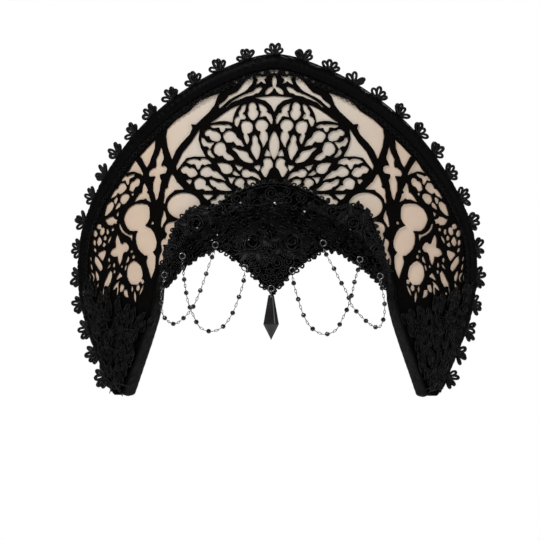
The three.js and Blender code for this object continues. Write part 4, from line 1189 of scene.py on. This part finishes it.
def make_seeds():
    """Small cut stones sewn among the cords."""
    shape = Shape()
    for x, z, size in SEEDS:
        centre = on_lace(x, z, 5.0)
        levels = np.array([-0.7, -0.1, 0.45, 0.7])
        radii = np.array([0.3, 1.0, 0.85, 0.45])
        angle = np.arange(8) * math.pi / 4 + rng.uniform(0, 1)
        facing = lace_facing(np.array(float(x)), np.array(float(z)))
        facing /= np.linalg.norm(facing)
        side = np.cross(facing, [0, 0, 1.0])
        side /= np.linalg.norm(side)
        up = np.cross(side, facing)
        ring = side * np.cos(angle)[:, None] + up * np.sin(angle)[:, None]
        points = centre + size * (radii[:, None, None] * ring[None] + levels[:, None, None] * facing)
        shape.grid(points, np.zeros(points.shape[:2] + (2,)), wrap=True)
        shape.close_ends(8)
    make_piece("seed_crystals", shape, [SPARK], smooth_angle=5)


# ------------------------------------------------------------------ petals and cords at the tips
def petal_sheet(shape, cords, base, heading, length, width, lift, cup, curl):
    """A pointed petal on the board, with its edge turned up and a cord along its rib and edge; gives its area."""
    rows, columns = 13, 9
    t = np.linspace(0, 1, rows)[:, None]
    s = np.linspace(-1, 1, columns)[None]
    half = width / 2 * (np.sin(math.pi * np.clip(t, 0.02, 0.98) ** 0.8)) ** 0.75
    along, across = length * t + 0 * s, half * s
    u = base[0] + along * math.cos(heading) - across * math.sin(heading)
    v = base[1] + along * math.sin(heading) + across * math.cos(heading)
    w = lift + cup * s ** 2 * np.sin(math.pi * t) + curl * t ** 2 + 0.35 * np.sin(9 * t + 4 * s)
    flat = np.stack([along, across], -1)
    front, back = on_board(u, v, w), on_board(u, v, w - 0.35)
    shape.slab(front, back, flat, flip=True)
    cords.tube(np.concatenate([front[:, 0], front[::-1, -1]]), 0.42, sides=5, closed=True)
    cords.tube(front[:, columns // 2], np.linspace(0.45, 0.2, rows), sides=5)
    return float(2 * half.mean() * length)


def make_petals(name, side):
    shape, cords = Shape(), Shape()
    area = 0.0
    for row, f in enumerate(np.linspace(0.985, 0.745, 14)):
        count = 3 + row // 2
        for k in range(count):
            share = (k + 0.5) / count
            low, high = board_inner(np.array(f), 0.0), board_outer(np.array(f), -4.0)
            base = low + (high - low) * (share + rng.normal(0, 0.05))
            fan = math.radians(62 + 56 * share + rng.normal(0, 9))
            heading = math.pi - fan if side > 0 else fan
            length = rng.uniform(9, 14.5) * (0.8 if row < 2 else 1)
            area += petal_sheet(shape, cords, (side * base[0], base[1]), heading,
                        length, rng.uniform(4.6, 7.2), 1.9 + 0.14 * (13 - row) + rng.uniform(0, 1.6),
                        rng.uniform(0.6, 1.8), rng.uniform(-0.6, 1.4))
    for f, share in ((0.8, 0.3), (0.83, 0.5), (0.88, 0.7), (0.93, 0.4), (0.85, 0.85), (0.81, 0.75), (0.97, 0.5)):
        low, high = board_inner(np.array(f), 0.5), board_outer(np.array(f), 1.0)
        centre = low + (high - low) * share
        for ray in range(7):
            angle = rng.uniform(0, 2 * math.pi)
            t = np.linspace(0, 1, 12)
            reach = rng.uniform(8, 14)
            u = centre[0] + reach * t * math.cos(angle) + 0.8 * np.sin(5 * t)
            v = centre[1] + reach * t * math.sin(angle)
            cords.tube(on_board(side * u, v, 6.2 - 2.4 * t ** 2), 0.38, sides=5)
        knot = scroll(side * centre[0], centre[1], 3.2, 2.2, 0, side)
        cords.tube(on_board(knot[:, 0], knot[:, 1], np.linspace(5.4, 6.6, len(knot))), 0.6, sides=6)
    piece = make_piece(name, shape, [SATIN_LEAF], smooth_angle=60)
    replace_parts(piece, "tip_lace_left" if side > 0 else "tip_lace_right")
    trim = make_piece(name + "_cords", cords, [CORD], smooth_angle=80)


# ------------------------------------------------------------------ bead swags, rings and drop
BEAD_RADIUS = 1.9
BEAD_STEP = 12.5
RING_RADIUS, RING_WIRE = 2.3, 0.45
THREAD_RADIUS = 0.45
SWAGS = {
    "swag_right_inner": [(-20.6, -45.5, 6.5), (-21.7, -54, 5), (-25.4, -66, 4), (-30.4, -78, 4),
        (-37.7, -87.6, 4), (-46.6, -91, 5), (-55.3, -88, 6.5), (-60.9, -78.5, 8), (-65.1, -69, 8),
        (-67.6, -58.5, 7.5), (-69.8, -48.5, 6.5), (-71.6, -37.5, 6.5)],
    "swag_right_outer": [(-44.4, -28.5, 6.5), (-48.1, -37.7, 6), (-52.5, -51, 3.5), (-56.6, -62.4, 3),
        (-61.9, -73.6, 3), (-70.3, -82.8, 3), (-77.6, -87, 3.5), (-85.4, -83.4, 4), (-88.6, -77, 5),
        (-88.9, -69, 6.5), (-88.9, -60.3, 7), (-87.1, -53, 7)],
    "swag_left_inner": [(16, -47.5, 6.5), (17.6, -56, 5), (20.6, -66, 4), (24.5, -77.6, 4),
        (30.4, -87.4, 4), (39.7, -92.8, 5), (49.1, -90, 6.5), (54.8, -80.4, 8), (59.1, -71.4, 8),
        (61.7, -63, 7.5), (64.4, -51.6, 6.5), (68.2, -40, 6.5)],
    "swag_left_outer": [(39.5, -27, 6.5), (43.2, -34.6, 6.5), (47.9, -43, 5), (52.3, -51.8, 3.5),
        (57.8, -61.6, 3), (62, -72, 3), (70.2, -81.5, 3), (78.2, -88.4, 3.5), (83.9, -89.4, 4),
        (87.3, -82, 5), (87.8, -72.4, 6.5), (86.5, -63, 7), (84.4, -53.5, 7)],
}


def before_lace(x, z, clearance):
    x, z = np.asarray(x, float), np.asarray(z, float)
    return np.stack([x, lace_depth(x, z) - clearance * np.linalg.norm(lace_facing(x, z), axis=-1), z], -1)


def swag_line(route):
    """Points along a swag at even steps, its length, and its beads' places."""
    x, z, clearance = np.array(route, float).T
    fine = spline(before_lace(x, z, clearance), np.linspace(0, len(route) - 1, 60 * len(route)))
    run = run_of(fine)
    beads = int(run[-1] // BEAD_STEP)

    def at(distance):
        return np.stack([np.interp(distance, run, fine[:, k]) for k in range(3)], -1)

    return at, run[-1], (np.arange(beads) + 0.5) * run[-1] / beads


def bead(shape, centre, along):
    """A round bead cut with small facets, drilled along the thread."""
    along = along / np.linalg.norm(along)
    side = np.cross(along, [0.0, 1.0, 0.1])
    side /= np.linalg.norm(side)
    other = np.cross(side, along)
    tilt = np.linspace(-78, 78, 8) * math.pi / 180
    angle = np.arange(10) * 2 * math.pi / 10
    turn = angle[None] + (np.arange(8) % 2)[:, None] * math.pi / 10
    around = side * np.cos(turn)[..., None] + other * np.sin(turn)[..., None]
    points = centre + BEAD_RADIUS * (np.cos(tilt)[:, None, None] * around + np.sin(tilt)[:, None, None] * along)
    shape.grid(points, np.zeros(points.shape[:2] + (2,)), wrap=True, flip=True)
    shape.close_ends(10, flip=True)


def oval(shape, centre, along, across, half_length, half_width, wire, count=18, slot=0):
    t = np.arange(count) * 2 * math.pi / count
    path = centre + np.cos(t)[:, None] * along * half_length + np.sin(t)[:, None] * across * half_width
    shape.tube(path, wire, sides=6, closed=True, slot=slot)


def make_swag(name, route):
    at, length, places = swag_line(route)
    beads, wires = Shape(), Shape()
    for n, place in enumerate(places):
        bead(beads, at(place), at(place + 0.5) - at(place - 0.5))
    stops = np.concatenate([[-BEAD_RADIUS], places, [length + BEAD_RADIUS]])
    for start, end in zip(stops[:-1] + BEAD_RADIUS, stops[1:] - BEAD_RADIUS):
        links = max(int(round((end - start) / 2.9)), 1)
        for k in range(links):
            middle = start + (end - start) * (k + 0.5) / links
            along = at(min(middle + 0.5, length)) - at(max(middle - 0.5, 0))
            along /= np.linalg.norm(along)
            flat = np.cross(along, [0.0, 1.0, 0.0])
            flat /= np.linalg.norm(flat)
            across = flat if k % 2 else np.cross(along, flat)
            oval(wires, at(middle), along, across, (end - start) / links / 2 + 0.3, 0.7, 0.27)
    piece = make_piece(name + "_beads", beads, [JET], smooth_angle=5)
    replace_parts(piece, name)
    make_piece(name + "_links", wires, [STEEL], smooth_angle=80)
    return at(0.0), at(length)


def ring_loop(shape, centre, radius=RING_RADIUS, wire=RING_WIRE):
    """A jump ring with its small cut left open."""
    t = np.linspace(0.06, 2 * math.pi - 0.06, 40) + math.pi * 0.35
    path = centre + radius * np.stack([np.cos(t), 0.12 * np.sin(t / 2), np.sin(t)], -1)
    shape.tube(path, wire, sides=8)


def make_swags():
    rings = Shape()
    for name, route in SWAGS.items():
        for end in make_swag(name, route):
            ring_loop(rings, end + np.array([0, 0, RING_RADIUS + RING_WIRE + THREAD_RADIUS + GAP]))
    low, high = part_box("tip_ring")
    centre = (np.array(low) + np.array(high)) / 2 / MM
    ring_loop(rings, centre)
    piece = make_piece("jump_rings", rings, [STEEL], smooth_angle=80)
    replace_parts(piece, "tip_ring", *[f"{name}_ring_{end}" for name in SWAGS for end in "ab"])


def make_drop():
    low, high = (np.array(corner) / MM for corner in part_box("bail"))
    centre, half = (low + high) / 2, (high - low) / 2
    wire = half[0]
    t = np.arange(44) * 2 * math.pi / 44
    squared = [np.sign(wave) * np.abs(wave) ** 0.75 for wave in (np.cos(t), np.sin(t))]
    path = np.stack([np.full(len(t), centre[0]), centre[1] + (half[1] - wire) * squared[0],
                     centre[2] + (half[2] - wire) * squared[1]], -1)
    shape = Shape()
    shape.tube(path, wire, sides=10, closed=True)
    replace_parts(make_piece("wire_bail", shape, [STEEL], body="bail", smooth_angle=80), "bail")
    low, high = (np.array(corner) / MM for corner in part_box("drop"))
    centre, size = (low + high) / 2, high - low
    levels = [(0, 0.30), (0.02, 0.37), (0.63, 0.97), (0.65, 1.0), (0.67, 0.95), (0.985, 0.05), (1.0, 0.02)]
    corner = math.radians(2.6)
    angle = np.concatenate([[k * math.pi / 3 - corner, k * math.pi / 3 + corner] for k in range(6)])
    rows = []
    for down, share in levels:
        depth = size[1] * share + (0.12 * size[0] * (0.65 - down) if down < 0.65 else 0)
        rows.append(np.stack([centre[0] + size[0] / 2 * share * np.cos(angle),
                              centre[1] + depth / 2 * np.sin(angle),
                              np.full(len(angle), high[2] - down * size[2])], -1))
    shape = Shape()
    points = np.array(rows)
    shape.grid(points, np.zeros(points.shape[:2] + (2,)), wrap=True)
    shape.close_ends(len(angle))
    piece = make_piece("cut_drop", shape, [CRYSTAL], body="drop", smooth_angle=2)
    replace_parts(piece, "drop")


# ------------------------------------------------------------------ floor and lights
FLOOR_DROP = -0.9
ROOM_LIGHT = 0.24


def make_stage():
    mesh = bpy.data.meshes.new("floor")
    corners = [(x, y, FLOOR_DROP) for x, y in ((-3, -3), (3, -3), (3, 3), (-3, 3))]
    mesh.from_pydata(corners, [], [(0, 1, 2, 3)])
    floor = bpy.data.objects.new("floor", mesh)
    bpy.context.collection.objects.link(floor)
    look = Look("floor", (0.93, 0.93, 0.93), 0.9)
    look.set(Emission_Color=(1, 1, 1, 1), Emission_Strength=0.55)
    look.feed("Base Color", look.grey_ramp(look.noise(3, 2), 0.92, 0.94))
    mesh.materials.append(look.material)
    world = bpy.data.worlds.new("world")
    bpy.context.scene.world = world
    world.use_nodes = True
    tree = world.node_tree
    backdrop = tree.nodes["Background"]
    backdrop.inputs["Color"].default_value = (1, 1, 1, 1)
    room = tree.nodes.new("ShaderNodeBackground")
    room.inputs["Color"].default_value = (1, 1, 1, 1)
    room.inputs["Strength"].default_value = ROOM_LIGHT
    seen = tree.nodes.new("ShaderNodeLightPath")
    mix = tree.nodes.new("ShaderNodeMixShader")
    tree.links.new(seen.outputs["Is Camera Ray"], mix.inputs[0])
    tree.links.new(room.outputs[0], mix.inputs[1])
    tree.links.new(backdrop.outputs[0], mix.inputs[2])
    tree.links.new(mix.outputs[0], tree.nodes["World Output"].inputs["Surface"])


def soft_light(name, place, aim, size, power):
    data = bpy.data.lights.new(name, "AREA")
    data.size = size
    data.energy = power
    light = bpy.data.objects.new(name, data)
    light.location = place
    light.rotation_euler = (Vector(aim) - Vector(place)).to_track_quat("-Z", "Y").to_euler()
    bpy.context.collection.objects.link(light)


bpy.context.scene.view_settings.view_transform = "Standard"
make_stage()
soft_light("key", (-0.8, -1.2, 1.3), (0, 0, 0), 0.5, 35)
soft_light("fill", (1.4, -1.3, 0.5), (0, 0, 0), 0.8, 15)
soft_light("back", (0.3, 1.4, 1.1), (0, 0, 0), 0.8, 18)

make_board()
make_tracery()
make_rim()
make_headband()
make_picots()
make_net()
make_lace()
make_seeds()
make_petals("petals_right", -1)
make_petals("petals_left", 1)
make_swags()
make_drop()
